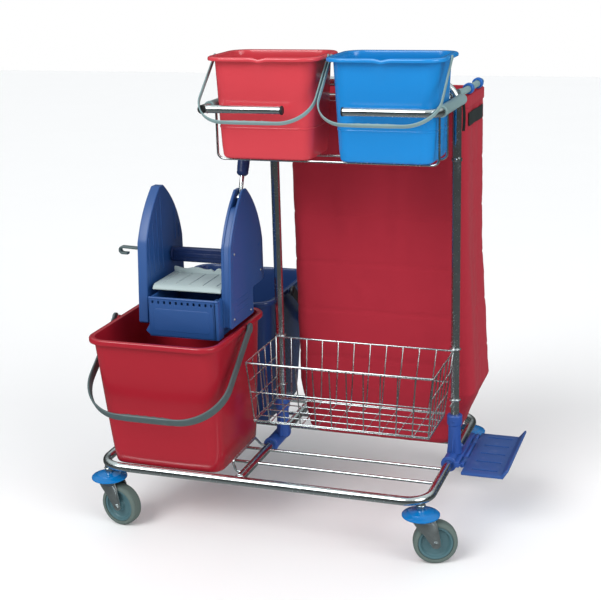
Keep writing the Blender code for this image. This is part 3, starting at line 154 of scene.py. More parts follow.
class Desk:
    """One node tree, filled through a single method."""

    def __init__(self, tree: bpy.types.NodeTree) -> None:
        """Start with an empty tree."""
        self.tree = tree
        self.tree.nodes.clear()

    def node(self, kind: str, settings: dict, inputs: dict, output: object = 0) -> Wire:
        """Add a node.

        Args:
            kind: The node's type.
            settings: Its properties, with "stops" for the stops of a colour ramp.
            inputs: Values or wires for its sockets, by index or name.
            output: The socket that the result is read from.

        Returns:
            The wire from that socket; an output node has none.
        """
        made = self.tree.nodes.new(kind)
        for key, value in settings.items():
            if key == "stops":
                for element, (place, colour) in zip(self._stops(made.color_ramp, len(value)), value):
                    element.position = place
                    element.color = (*colour, 1.0)
            else:
                setattr(made, key, value)
        for key, value in inputs.items():
            self.plug(made.inputs[key], value)
        return Wire(self, made.outputs[output] if made.outputs else None)

    @staticmethod
    def _stops(ramp: bpy.types.ColorRamp, count: int) -> Iterable:
        """A ramp's stops, with new ones added up to count."""
        while len(ramp.elements) < count:
            ramp.elements.new(1.0)
        return ramp.elements

    def plug(self, socket: bpy.types.NodeSocket, value: object) -> None:
        """Set a socket to a value, or link it to a wire."""
        if isinstance(value, Wire):
            self.tree.links.new(value.socket, socket)
        elif isinstance(value, tuple) and socket.type == "RGBA":
            socket.default_value = (*value, 1.0)
        else:
            socket.default_value = value

    def place(self, scale: tuple[float, float, float] = (1.0, 1.0, 1.0)) -> Wire:
        """Object coordinates, stretched by scale."""
        coordinates = self.node("ShaderNodeTexCoord", {}, {}, "Object")
        return self.node("ShaderNodeMapping", {}, {"Vector": coordinates, "Scale": scale})

    def axis(self, name: str) -> Wire:
        """One component of the object coordinates."""
        return self.node("ShaderNodeSeparateXYZ", {}, {0: self.place()}, name)

    def cloud(self, scale: float, detail: float = 3.0, stretch: tuple = (1.0, 1.0, 1.0)) -> Wire:
        """Noise from 0 to 1 at a number of cells per metre."""
        sockets = {"Vector": self.place(stretch), "Scale": scale, "Detail": detail, "Roughness": 0.55}
        return self.node("ShaderNodeTexNoise", {}, sockets, 0)

    def blend(self, amount: object, first: object, second: object) -> Wire:
        """Mix two colours."""
        return self.node("ShaderNodeMix", {"data_type": "RGBA"}, {0: amount, 6: first, 7: second}, 2)

    def bump(self, height: Wire, strength: float, distance: float) -> Wire:
        """A normal from a height."""
        return self.node("ShaderNodeBump", {}, {"Strength": strength, "Distance": distance, "Height": height})

    def finish(self, **sockets: object) -> None:
        """Put out a shader with these sockets set, underscores standing for the spaces in their names."""
        named = {key.replace("_", " "): value for key, value in sockets.items()}
        shader = self.node("ShaderNodeBsdfPrincipled", {}, named)
        self.node("ShaderNodeOutputMaterial", {}, {0: shader})


def tinted(colour: Colour, factor: float) -> Colour:
    """A colour made lighter or darker by a factor."""
    return tuple(min(1.0, part * factor) for part in colour)


# --------------------------------------------------------------- finishes


@dataclass(frozen=True)
class Finish:
    """What every finish has: a name, a colour and a polish."""

    name: str
    tone: Colour
    polish: float

    def material(self) -> bpy.types.Material:
        """The finish's material, made on first use."""
        made = bpy.data.materials.get(self.name)
        if made is None:
            made = bpy.data.materials.new(self.name)
            made.use_nodes = True
            self.dress(Desk(made.node_tree))
        return made

    def dress(self, desk: Desk) -> None:
        """Fill the material's nodes; each kind of finish has its own."""
        raise NotImplementedError


@dataclass(frozen=True)
class PlatedMetal(Finish):
    """Bright plated tube or wire with faint draw lines, finger marks and dulled spots."""

    marks: float = 0.16

    def dress(self, desk: Desk) -> None:
        """Plating with smears in its polish and a very fine grain."""
        smear = desk.cloud(22.0, 4.0)
        spots = desk.cloud(190.0, 2.0).above(0.66, 0.10)
        grain = desk.cloud(1500.0, 1.0)
        polish = smear.above(0.55, 0.35) * self.marks + spots * 0.18 + self.polish
        tone = desk.blend(smear, tinted(self.tone, 0.86), self.tone)
        tone = desk.blend(spots * 0.35, tone, tinted(self.tone, 0.62))
        normal = desk.bump(grain * 0.4 + smear * 0.6, 0.10, 0.0004)
        desk.finish(Base_Color=tone, Roughness=polish, Metallic=1.0, Normal=normal)


@dataclass(frozen=True)
class MouldedPlastic(Finish):
    """Injection-moulded plastic: orange-peel skin, flow marks and fine scuffs."""

    skin: float = 0.12
    scuffs: float = 0.5
    gloss: float = 0.0

    def dress(self, desk: Desk) -> None:
        """Skin grain, flow variation, scratches that dull and lighten the colour."""
        flow = desk.cloud(5.0, 2.0)
        peel = desk.cloud(620.0, 2.0)
        scuff = desk.cloud(38.0, 5.0, (1.0, 1.0, 5.0)).above(0.63, 0.10)
        hair = desk.cloud(260.0, 2.0, (0.12, 1.0, 1.4)).above(0.68, 0.05)
        worn = scuff * (0.55 * self.scuffs) + hair * (0.45 * self.scuffs)
        tone = desk.blend(flow, tinted(self.tone, 0.86), tinted(self.tone, 1.12))
        tone = desk.blend(worn * 0.22, tone, tuple(0.55 * part + 0.30 for part in self.tone))
        height = peel * 0.7 - worn * 0.5 + flow * 0.6
        normal = desk.bump(height, self.skin, 0.0006)
        polish = self.polish + worn * 0.20 + (peel - 0.5) * 0.06
        desk.finish(
            Base_Color=tone, Roughness=polish, Normal=normal, Coat_Weight=self.gloss, Coat_Roughness=0.12,
            Specular_IOR_Level=0.32)


@dataclass(frozen=True)
class TyreRubber(Finish):
    """Grey moulded rubber with ground-in dust on its tread."""

    dust: Colour = (0.42, 0.42, 0.40)

    def dress(self, desk: Desk) -> None:
        """Matt rubber, mottled by dust and pitted by use."""
        mottle = desk.cloud(45.0, 5.0)
        pits = desk.cloud(420.0, 2.0)
        dusty = mottle.above(0.55, 0.25)
        tone = desk.blend(mottle, tinted(self.tone, 0.80), tinted(self.tone, 1.15))
        tone = desk.blend(dusty * 0.22, tone, self.dust)
        normal = desk.bump(pits * 0.8 + mottle * 0.5, 0.30, 0.0006)
        desk.finish(Base_Color=tone, Roughness=self.polish + dusty * 0.12, Normal=normal)


@dataclass(frozen=True)
class CoatedCloth(Finish):
    """Woven polyester with a rubbery coat: fine weave and packing creases, with a painted highlight along the
    creases and a painted pale sheen on the raised crowns of its small rumples.
    """

    weave: float = 0.0016
    packing: tuple[float, float] = (0.107, 0.118)

    def dress(self, desk: Desk) -> None:
        """Weave and crease lines on the cloth's own UV map, in metres."""
        chart = desk.node("ShaderNodeUVMap", {"uv_map": "cloth"}, {})
        across = desk.node("ShaderNodeSeparateXYZ", {}, {0: chart}, "X")
        along = desk.node("ShaderNodeSeparateXYZ", {}, {0: chart}, "Y")
        threads = across.ridge(self.weave) * along.ridge(self.weave)
        wander = (desk.cloud(9.0, 2.0) - 0.5) * 0.012
        fold_up = (across + wander).ridge(self.packing[0]).above(0.022, 0.05)
        fold_over = (along + wander).ridge(self.packing[1]).above(0.022, 0.05)
        fold = fold_up * fold_over
        drape = desk.cloud(7.0, 4.0, (1.0, 1.0, 0.45))
        rumple = desk.cloud(34.0, 4.0, (1.0, 1.0, 0.7))
        crown_sheen = rumple.above(0.60, 0.16)
        tone = desk.blend(drape, tinted(self.tone, 0.80), tinted(self.tone, 1.18))
        # Painted highlight: the colour is painted 1.55 times lighter along the packing crease lines.
        tone = desk.blend(1 - fold, tone, tinted(self.tone, 1.55))
        # Painted sheen: the colour is painted paler where the rumple height is high, on the raised crowns, as
        # a painted highlight.
        tone = desk.blend(crown_sheen * 0.20, tone, tuple(0.8 * part + 0.10 for part in self.tone))
        coarse = desk.bump(fold * 0.9 + rumple * 0.8 + drape * 1.2, 0.42, 0.004)
        fine = desk.node(
            "ShaderNodeBump", {},
            {"Strength": 0.22, "Distance": 0.0005, "Height": threads, "Normal": coarse})
        polish = self.polish + threads * 0.06 + (1 - fold) * 0.05
        desk.finish(
            Base_Color=tone, Roughness=polish, Normal=fine, Sheen_Weight=0.12, Sheen_Roughness=0.5)


@dataclass(frozen=True)
class Webbing(Finish):
    """Flat woven strap with cross ribs and fuzzed edges."""

    rib: float = 0.0018

    def dress(self, desk: Desk) -> None:
        """Cross ribs over a fine twill, painted darker in their grooves and lighter on their crowns as
        painted shade and highlight, a little lint on top.
        """
        ribs = (desk.axis("Y") + desk.axis("X") * 0.5).ridge(self.rib)
        twill = (desk.axis("Z") + desk.axis("Y") * 0.6).ridge(self.rib * 0.7)
        lint = desk.cloud(300.0, 3.0).above(0.64, 0.10)
        # Painted shade and highlight: the colour follows the weave's height, darker in the grooves and
        # lighter on the crowns.
        tone = desk.blend(ribs * twill, tinted(self.tone, 0.6), tinted(self.tone, 1.6))
        tone = desk.blend(lint * 0.20, tone, (0.20, 0.20, 0.20))
        normal = desk.bump(ribs * 0.7 + twill * 0.3, 0.55, 0.0006)
        desk.finish(Base_Color=tone, Roughness=self.polish, Normal=normal)


@dataclass(frozen=True)
class PaleFloor(Finish):
    """The plain pale studio floor."""

    def dress(self, desk: Desk) -> None:
        """A near-white floor with the faintest mottling."""
        haze = desk.cloud(3.0, 2.0)
        tone = desk.blend(haze, tinted(self.tone, 0.985), self.tone)
        desk.finish(Base_Color=tone, Roughness=self.polish)


CHROME = PlatedMetal("bright_plating", (0.66, 0.72, 0.73), 0.11)
WIRE_CHROME = PlatedMetal("plated_wire", (0.62, 0.68, 0.69), 0.16)
ZINC = PlatedMetal("zinc_plating", (0.62, 0.68, 0.69), 0.30, 0.22)
SOCKET_BLUE = MouldedPlastic("socket_blue", (0.030, 0.105, 0.400), 0.38, 0.14, 0.45)
PLATE_BLUE = MouldedPlastic("foot_plate_blue", (0.024, 0.078, 0.270), 0.42, 0.20, 0.75)
BUMPER_BLUE = MouldedPlastic("bumper_blue", (0.002, 0.170, 0.480), 0.30, 0.10, 0.50)
CLIP_BLUE = MouldedPlastic("clip_blue", (0.020, 0.120, 0.420), 0.34, 0.10, 0.30)
HUB_GREY = MouldedPlastic("hub_grey", (0.070, 0.145, 0.160), 0.42, 0.16, 0.60)
TYRE_GREY = TyreRubber("tyre_grey", (0.105, 0.135, 0.122), 0.58)
BUCKET_RED = MouldedPlastic("bucket_red", (0.400, 0.010, 0.026), 0.30, 0.14, 0.55)
BUCKET_BLUE = MouldedPlastic("bucket_blue", (0.018, 0.052, 0.240), 0.32, 0.14, 0.45)
PAIL_RED = MouldedPlastic("pail_red", (0.600, 0.040, 0.064), 0.24, 0.10, 0.35)
PAIL_BLUE = MouldedPlastic("pail_blue", (0.006, 0.235, 0.610), 0.24, 0.10, 0.35)
BAIL_GREY = MouldedPlastic("bail_grey", (0.070, 0.105, 0.105), 0.40, 0.18, 0.60)
BAIL_BLACK = MouldedPlastic("bail_black", (0.018, 0.024, 0.030), 0.38, 0.18, 0.60)
SOFT_GREY = MouldedPlastic("sleeve_grey", (0.200, 0.305, 0.310), 0.44, 0.18, 0.50)
WRINGER_BLUE = MouldedPlastic("wringer_blue", (0.018, 0.066, 0.260), 0.33, 0.16, 0.55)
PRESS_GREY = MouldedPlastic("press_grey", (0.370, 0.450, 0.450), 0.40, 0.18, 0.60)
NAVY = MouldedPlastic("navy_plastic", (0.010, 0.024, 0.092), 0.34, 0.16, 0.50)
PLUG_BLACK = MouldedPlastic("plug_black", (0.016, 0.017, 0.018), 0.42, 0.18, 0.50)
BAG_RED = CoatedCloth("bag_red", (0.345, 0.010, 0.028), 0.46)
STRAP_BLACK = Webbing("strap_black", (0.016, 0.020, 0.024), 0.72)
FLOOR = PaleFloor("pale_floor", (0.93, 0.93, 0.93), 0.55)


# ------------------------------------------------------------------ forms


def bent(corners: Sequence[Vector], radius: float, closed: bool = False, steps: int = 12) -> list[Vector]:
    """The points of a path whose corners are arcs.

    Args:
        corners: The path's corner points.
        radius: The radius of every bend.
        closed: Whether the path returns to its start.
        steps: How many chords an arc has.

    Returns:
        The path's points in order.
    """
    points: list[Vector] = []
    count = len(corners)
    for i, corner in enumerate(corners):
        if not closed and i in (0, count - 1):
            points.append(Vector(corner))
            continue
        before = (corners[i - 1] - corner).normalized()
        after = (corners[(i + 1) % count] - corner).normalized()
        half = before.angle(after) / 2
        centre = corner + (before + after).normalized() * radius / math.sin(half)
        start = corner + before * radius / math.tan(half) - centre
        end = corner + after * radius / math.tan(half) - centre
        sweep = start.angle(end)
        for k in range(steps + 1):
            share = k / steps
            arc = start * math.sin((1 - share) * sweep) + end * math.sin(share * sweep)
            points.append(centre + arc / math.sin(sweep))
    return points


def divided(points: Sequence[Vector], most: float) -> list[Vector]:
    """A path with extra points so that no stretch is longer than most."""
    result = [points[0]]
    for start, end in zip(points, points[1:]):
        parts = max(1, math.ceil((end - start).length / most))
        result += [start.lerp(end, k / parts) for k in range(1, parts + 1)]
    return result


def ring_of(length: float, depth: float, corner: float, arc: int = 8, straight: int = 6) -> list[Vector]:
    """The points round a rounded rectangle: arc in each corner, straight between corners."""
    centres = [(1, 1), (-1, 1), (-1, -1), (1, -1)]
    corner = min(corner, 0.499 * length, 0.499 * depth)
    turns: list[list[Vector]] = []
    for quarter, (sx, sy) in enumerate(centres):
        centre = Vector((sx * (length / 2 - corner), sy * (depth / 2 - corner), 0.0))
        angles = [math.pi / 2 * (quarter + k / (arc - 1)) for k in range(arc)]
        turns.append([centre + Vector((math.cos(a), math.sin(a), 0.0)) * corner for a in angles])
    points: list[Vector] = []
    for quarter in range(4):
        points += turns[quarter]
        start, end = turns[quarter][-1], turns[(quarter + 1) % 4][0]
        points += [start.lerp(end, k / (straight + 1)) for k in range(1, straight + 1)]
    return points


def facing(direction: Vector, place: Vector, side: Optional[Vector] = None) -> Matrix:
    """A matrix whose Z points along direction and whose X is near side, set at a place."""
    z = direction.normalized()
    reference = side if side is not None else z.orthogonal()
    x = (reference - z * reference.dot(z)).normalized()
    turn = Matrix((x, z.cross(x), z)).transposed().to_4x4()
    turn.translation = place
    return turn


class Form:
    """A mesh being shaped, with the moves that the pieces share."""

    def __init__(self) -> None:
        """Start with nothing."""
        self.bm = bmesh.new()

    def loft(self, rings: Sequence[Sequence[Vector]], closed: bool = False, caps: bool = True,
             chart: Optional[tuple[float, Sequence[float]]] = None) -> "Form":
        """Wrap a grid over rings of equal count and sew its seam.

        Args:
            rings: The rings' points in order.
            closed: Whether the last ring joins the first.
            caps: Whether the two ends are filled.
            chart: The girth and each ring's height, in metres, for a UV map named cloth.

        Returns:
            The form itself.
        """
        rows = list(rings) + ([rings[0]] if closed else [])
        count, last = len(rows[0]), len(rows) - 1
        made = bmesh.ops.create_grid(self.bm, x_segments=count, y_segments=last, size=1.0)["verts"]
        spots = {vert: (round((vert.co.x + 1) / 2 * count), round((vert.co.y + 1) / 2 * last))
                 for vert in made}
        if chart:
            layer = self.bm.loops.layers.uv.get("cloth") or self.bm.loops.layers.uv.new("cloth")
            for face in {face for vert in made for face in vert.link_faces}:
                for loop in face.loops:
                    i, j = spots[loop.vert]
                    loop[layer].uv = (i / count * chart[0], chart[1][j])
        for vert, (i, j) in spots.items():
            vert.co = rows[j][i % count]
        ends = [[vert for vert, (_, j) in spots.items() if j == row] for row in (0, last)]
        bmesh.ops.remove_doubles(self.bm, verts=made, dist=0.0000005)
        if caps and not closed:
            for end in ends:
                rim = {edge for vert in end if vert.is_valid for edge in vert.link_edges if edge.is_boundary}
                bmesh.ops.edgeloop_fill(self.bm, edges=list(rim))
        return self

    def tube(self, path: Sequence[Vector], radius: object, sides: int = 24, closed: bool = False) -> "Form":
        """Sweep a round section along a path.

        Args:
            path: The points of the centre line.
            radius: One radius, or one for each point.
            sides: How many sides the section has.
            closed: Whether the path is a loop.

        Returns:
            The form itself.
        """
        radii = list(radius) if isinstance(radius, (list, tuple)) else [radius] * len(path)
        section = [Vector((math.cos(math.tau * k / sides), math.sin(math.tau * k / sides), 0.0))
                   for k in range(sides)]
        rings = [[turn @ (point * size) for point in section]
                 for turn, size in zip(self._turns(path, closed), radii)]
        return self.loft(rings, closed)

    @staticmethod
    def _turns(path: Sequence[Vector], closed: bool) -> list[Matrix]:
        """Frames along a path that don't twist."""
        count = len(path)
        side: Optional[Vector] = None
        turns: list[Matrix] = []
        for i, point in enumerate(path):
            ahead = path[(i + 1) % count] if closed or i + 1 < count else point
            behind = path[i - 1] if closed or i > 0 else point
            turn = facing(ahead - behind, point, side)
            side = turn.col[0].to_3d()
            turns.append(turn)
        return turns

    def rod(self, start: Vector, end: Vector, radius: float, dome: float = 0.0, sides: int = 24) -> "Form":
        """A straight bar whose ends are rounded by dome."""
        along = (end - start).normalized()
        edge = [(0.0, 0.55), (0.12, 0.80), (0.45, 0.95), (1.0, 1.0)] if dome else [(0.0, 1.0)]
        path = [start + along * dome * share for share, _ in edge]
        path += [end - along * dome * share for share, _ in reversed(edge)]
        sizes = [radius * size for _, size in edge] + [radius * size for _, size in reversed(edge)]
        return self.tube(path, sizes, sides)

    def turned(self, profile: Sequence[tuple[float, float]], matrix: Matrix, steps: int = 48) -> "Form":
        """Spin a closed (radius, height) profile about the matrix's Z axis."""
        verts = [self.bm.verts.new((radius, 0.0, height)) for radius, height in profile]
        edges = [self.bm.edges.new((verts[i], verts[(i + 1) % len(verts)])) for i in range(len(verts))]
        before = set(self.bm.verts) - set(verts)
        bmesh.ops.spin(
            self.bm, geom=verts + edges, cent=(0, 0, 0), axis=(0, 0, 1), angle=math.tau, steps=steps,
            use_merge=True)
        made = [vert for vert in self.bm.verts if vert not in before]
        bmesh.ops.transform(self.bm, matrix=matrix, verts=made)
        bmesh.ops.remove_doubles(self.bm, verts=made, dist=0.00001)
        return self

    def slab(self, outline: Sequence[Sequence[float]], thickness: float, matrix: Matrix,
             edge: float = 0.0, segments: int = 3) -> "Form":
        """Extrude a flat outline both ways from the matrix's XY plane and round its edges."""
        before = set(self.bm.faces)
        verts = [self.bm.verts.new((point[0], point[1], -thickness / 2)) for point in outline]
        self.bm.faces.new(verts)
        face = [face for face in self.bm.faces if face not in before]
        self._thicken(face, before, thickness, matrix, edge, segments)
        return self

    def _thicken(self, faces: list, before: set, thickness: float, matrix: Matrix, edge: float,
                 segments: int) -> None:
        """Extrude flat faces upward, round the sharp edges and set the result in place."""
        grown = bmesh.ops.extrude_face_region(self.bm, geom=faces)["geom"]
        raised = [item for item in grown if isinstance(item, bmesh.types.BMVert)]
        bmesh.ops.translate(self.bm, verts=raised, vec=(0.0, 0.0, thickness))
        made = [face for face in self.bm.faces if face not in before]
        bmesh.ops.recalc_face_normals(self.bm, faces=made)
        if edge > 0.0:
            rims = {item for face in made for item in face.edges
                    if item.is_manifold and item.calc_face_angle(0.0) > 1.2}
            bmesh.ops.bevel(
                self.bm, geom=list(rims), offset=edge, segments=segments, profile=0.5,
                affect="EDGES", material=-1, clamp_overlap=True)
        made = {vert for face in self.bm.faces if face not in before for vert in face.verts}
        bmesh.ops.transform(self.bm, matrix=matrix, verts=list(made))

    def pierced(self, columns: Sequence[float], rows: Sequence[float], holes: Callable[[int, int], bool],
                thickness: float, matrix: Matrix, edge: float) -> "Form":
        """A plate over a grid of lines with some of its cells left open.

        Args:
            columns: Where the grid lines lie along X.
            rows: Where they lie along Y.
            holes: Says for a column and a row whether that cell is open.
            thickness: The plate's thickness.
            matrix: Where the plate goes.
            edge: The rounding of its edges.

        Returns:
            The form itself.
        """
        before = set(self.bm.faces)
        wide, tall = len(columns) - 1, len(rows) - 1
        made = bmesh.ops.create_grid(self.bm, x_segments=wide, y_segments=tall, size=0.5)["verts"]
        for vert in made:
            i, j = round((vert.co.x + 0.5) * wide), round((vert.co.y + 0.5) * tall)
            vert.co = Vector((columns[i], rows[j], -thickness / 2))
        cells = [face for face in self.bm.faces if face not in before]
        shut, opened = [], []
        for cell in cells:
            middle = cell.calc_center_bounds()
            i = max(k for k in range(wide) if columns[k] < middle.x)
            j = max(k for k in range(tall) if rows[k] < middle.y)
            (opened if holes(i, j) else shut).append(cell)
        bmesh.ops.delete(self.bm, geom=opened, context="FACES")
        self._thicken(shut, before, thickness, matrix, edge, 2)
        return self

    def block(self, lo: Vector, hi: Vector, edge: float = 0.0, segments: int = 3) -> "Form":
        """A box with rounded edges."""
        size, middle = hi - lo, (hi + lo) / 2
        made = bmesh.ops.create_cube(
            self.bm, size=1.0, matrix=Matrix.Translation(middle) @ Matrix.Diagonal((*size, 1.0)))["verts"]
        if edge > 0.0:
            edges = list({item for vert in made for item in vert.link_edges})
            bmesh.ops.bevel(
                self.bm, geom=edges, offset=edge, segments=segments, profile=0.5, affect="EDGES",
                material=-1, clamp_overlap=True)
        return self

    def band(self, path: Sequence[Vector], normal: Vector, thick: object, deep: float) -> "Form":
        """Sweep a flat rounded section along a path that lies in a plane.

        Args:
            path: The points of the centre line.
            normal: The plane's normal, along which the section is deep.
            thick: The section's thickness in the plane, one or one for each point.
            deep: Its width along the normal.

        Returns:
            The form itself.
        """
        sizes = list(thick) if isinstance(thick, (list, tuple)) else [thick] * len(path)
        rings = []
        for i, (point, size) in enumerate(zip(path, sizes)):
            ahead = path[min(i + 1, len(path) - 1)] - path[max(i - 1, 0)]
            turn = facing(ahead, point, normal)
            section = ring_of(deep, size, 0.42 * size, arc=4, straight=1)
            rings.append([turn @ corner for corner in section])
        return self.loft(rings)

    def piece(self, name: str, finish: Finish, body: str, replaces: Sequence[str] = (),
              slot: str = "", smooth: float = SMOOTH_ANGLE) -> bpy.types.Object:
        """Turn the form into a finished object of the cart.

        Args:
            name: The piece's name.
            finish: What it is made of.
            body: The frame body that it moves with.
            replaces: The frame nodes that it stands for.
            slot: The record's material slot; not used.
            smooth: Edges sharper than this stay sharp.

        Returns:
            The new object.
        """
        bmesh.ops.remove_doubles(self.bm, verts=self.bm.verts, dist=0.000002)
        bmesh.ops.recalc_face_normals(self.bm, faces=self.bm.faces)
        data = bpy.data.meshes.new(name)
        self.bm.to_mesh(data)
        self.bm.free()
        data.shade_smooth()
        data.set_sharp_from_angle(angle=smooth)
        made = bpy.data.objects.new(name, data)
        bpy.context.scene.collection.objects.link(made)
        data.materials.append(finish.material())
        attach(made, body)
        if replaces:
            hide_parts(*replaces)
        LOG.info("%s: %d faces, rides on %s", name, len(data.polygons), body)
        return made


# ------------------------------------------------------------------- base


@dataclass
class BaseFrame:
    """The welded floor loop, its cross tube, the shelf rods and the bucket rail."""

    tube: float = 0.0105
    bend: float = 0.055
    rod: float = 0.00375
    wire: float = 0.003
    stub: float = 0.0095
    rail_lean: float = 0.021
    rail_return: float = 0.0397

    def build(self) -> None:
        """Make every piece of the base."""
        self.loop()
        self.cross_tube()
        for number in range(1, 5):
            self.shelf_rod(number)
        self.rail()

    def loop(self) -> None:
        """The bent loop with a stub over each castor and a weld bead round each stub."""
        span = Span.of("base_loop")
        level = span.hi.z - self.tube
        left, right = span.lo.x + self.tube, span.hi.x - self.tube
        front, back = span.lo.y + self.tube, span.hi.y - self.tube
        corners = [Vector((left, front, level)), Vector((right, front, level)),
                   Vector((right, back, level)), Vector((left, back, level))]
        form = Form().tube(bent(corners, self.bend, closed=True, steps=14), self.tube, 32, closed=True)
        for corner in Corner:
            disc = Span.of("bumper_" + corner.value)
            foot = Vector((disc.mid.x, disc.mid.y, disc.hi.z))
            form.rod(foot, foot + Z_AXIS * (level - foot.z), self.stub)
            form.turned(bead_profile(self.stub, 0.0016), Matrix.Translation(foot + Z_AXIS * 0.011))
        form.piece("base_loop_tube", CHROME, "frame", ["base_loop"], "steel")

    def cross_tube(self) -> None:
        """The tube under the left upright, coped and welded to the loop."""
        span = Span.of("cross_tube")
        middle = span.mid
        start = Vector((middle.x, span.lo.y, middle.z))
        end = Vector((middle.x, span.hi.y, middle.z))
        form = Form().rod(start, end, self.tube, sides=32)
        for place, way in ((start, 1), (end, -1)):
            form.turned(bead_profile(self.tube, 0.0014), facing(Y_AXIS, place + Y_AXIS * way * 0.0012))
        form.piece("base_cross_tube", CHROME, "frame", ["cross_tube"], "steel")

    def shelf_rod(self, number: int) -> None:
        """One rod under the basket and the buckets, welded at both ends."""
        name = f"shelf_rod_{number}"
        span = Span.of(name)
        start = Vector((span.lo.x, span.mid.y, span.mid.z))
        end = Vector((span.hi.x, span.mid.y, span.mid.z))
        form = Form().rod(start, end, self.rod, sides=20)
        for place, way in ((start, 1), (end, -1)):
            form.turned(bead_profile(self.rod, 0.0009), facing(X_AXIS, place + X_AXIS * way * 0.0010), 24)
        form.piece(f"shelf_rod_{number}_bar", WIRE_CHROME, "frame", [name], "steel")

    def rail(self) -> None:
        """The wire hoop that keeps the buckets from sliding."""
        span = Span.of("bucket_rail")
        low, high = span.lo.z + self.wire, span.hi.z - self.wire
        near, far = span.hi.x, span.lo.x + self.wire
        top_front, back = span.lo.y + self.wire, span.hi.y - self.wire
        front, top_back = top_front + self.rail_lean, back - self.rail_return
        corners = [Vector((near, front, low)), Vector((far, front, low)), Vector((far, top_front, high)),
                   Vector((far, top_back, high)), Vector((far, back, low)), Vector((near, back, low))]
        form = Form().tube(bent(corners, 0.007, steps=7), self.wire, 18)
        form.piece("bucket_rail_wire", WIRE_CHROME, "frame", ["bucket_rail"], "steel")


def mirrored(side: list[tuple[float, float]]) -> list[tuple[float, float]]:
    """A (radius, height) profile followed by its reflection in the plane at height 0."""
    return side + [(radius, -height) for radius, height in reversed(side)]


def across(x: float) -> Matrix:
    """Turns (y, z) outlines to stand across the cart at x."""
    return Matrix(((0, 0, 1, x), (1, 0, 0, 0), (0, 1, 0, 0), (0, 0, 0, 1)))


def bead_profile(radius: float, swell: float) -> list[tuple[float, float]]:
    """A small round bead about a bar, such as a weld."""
    bead = [(radius + swell * math.sin(math.pi * k / 6), swell * math.cos(math.pi * k / 6) * 1.1)
            for k in range(7)]
    return [(radius - 0.0008, swell * 1.1)] + bead + [(radius - 0.0008, -swell * 1.1)]


# ---------------------------------------------------------------- castors


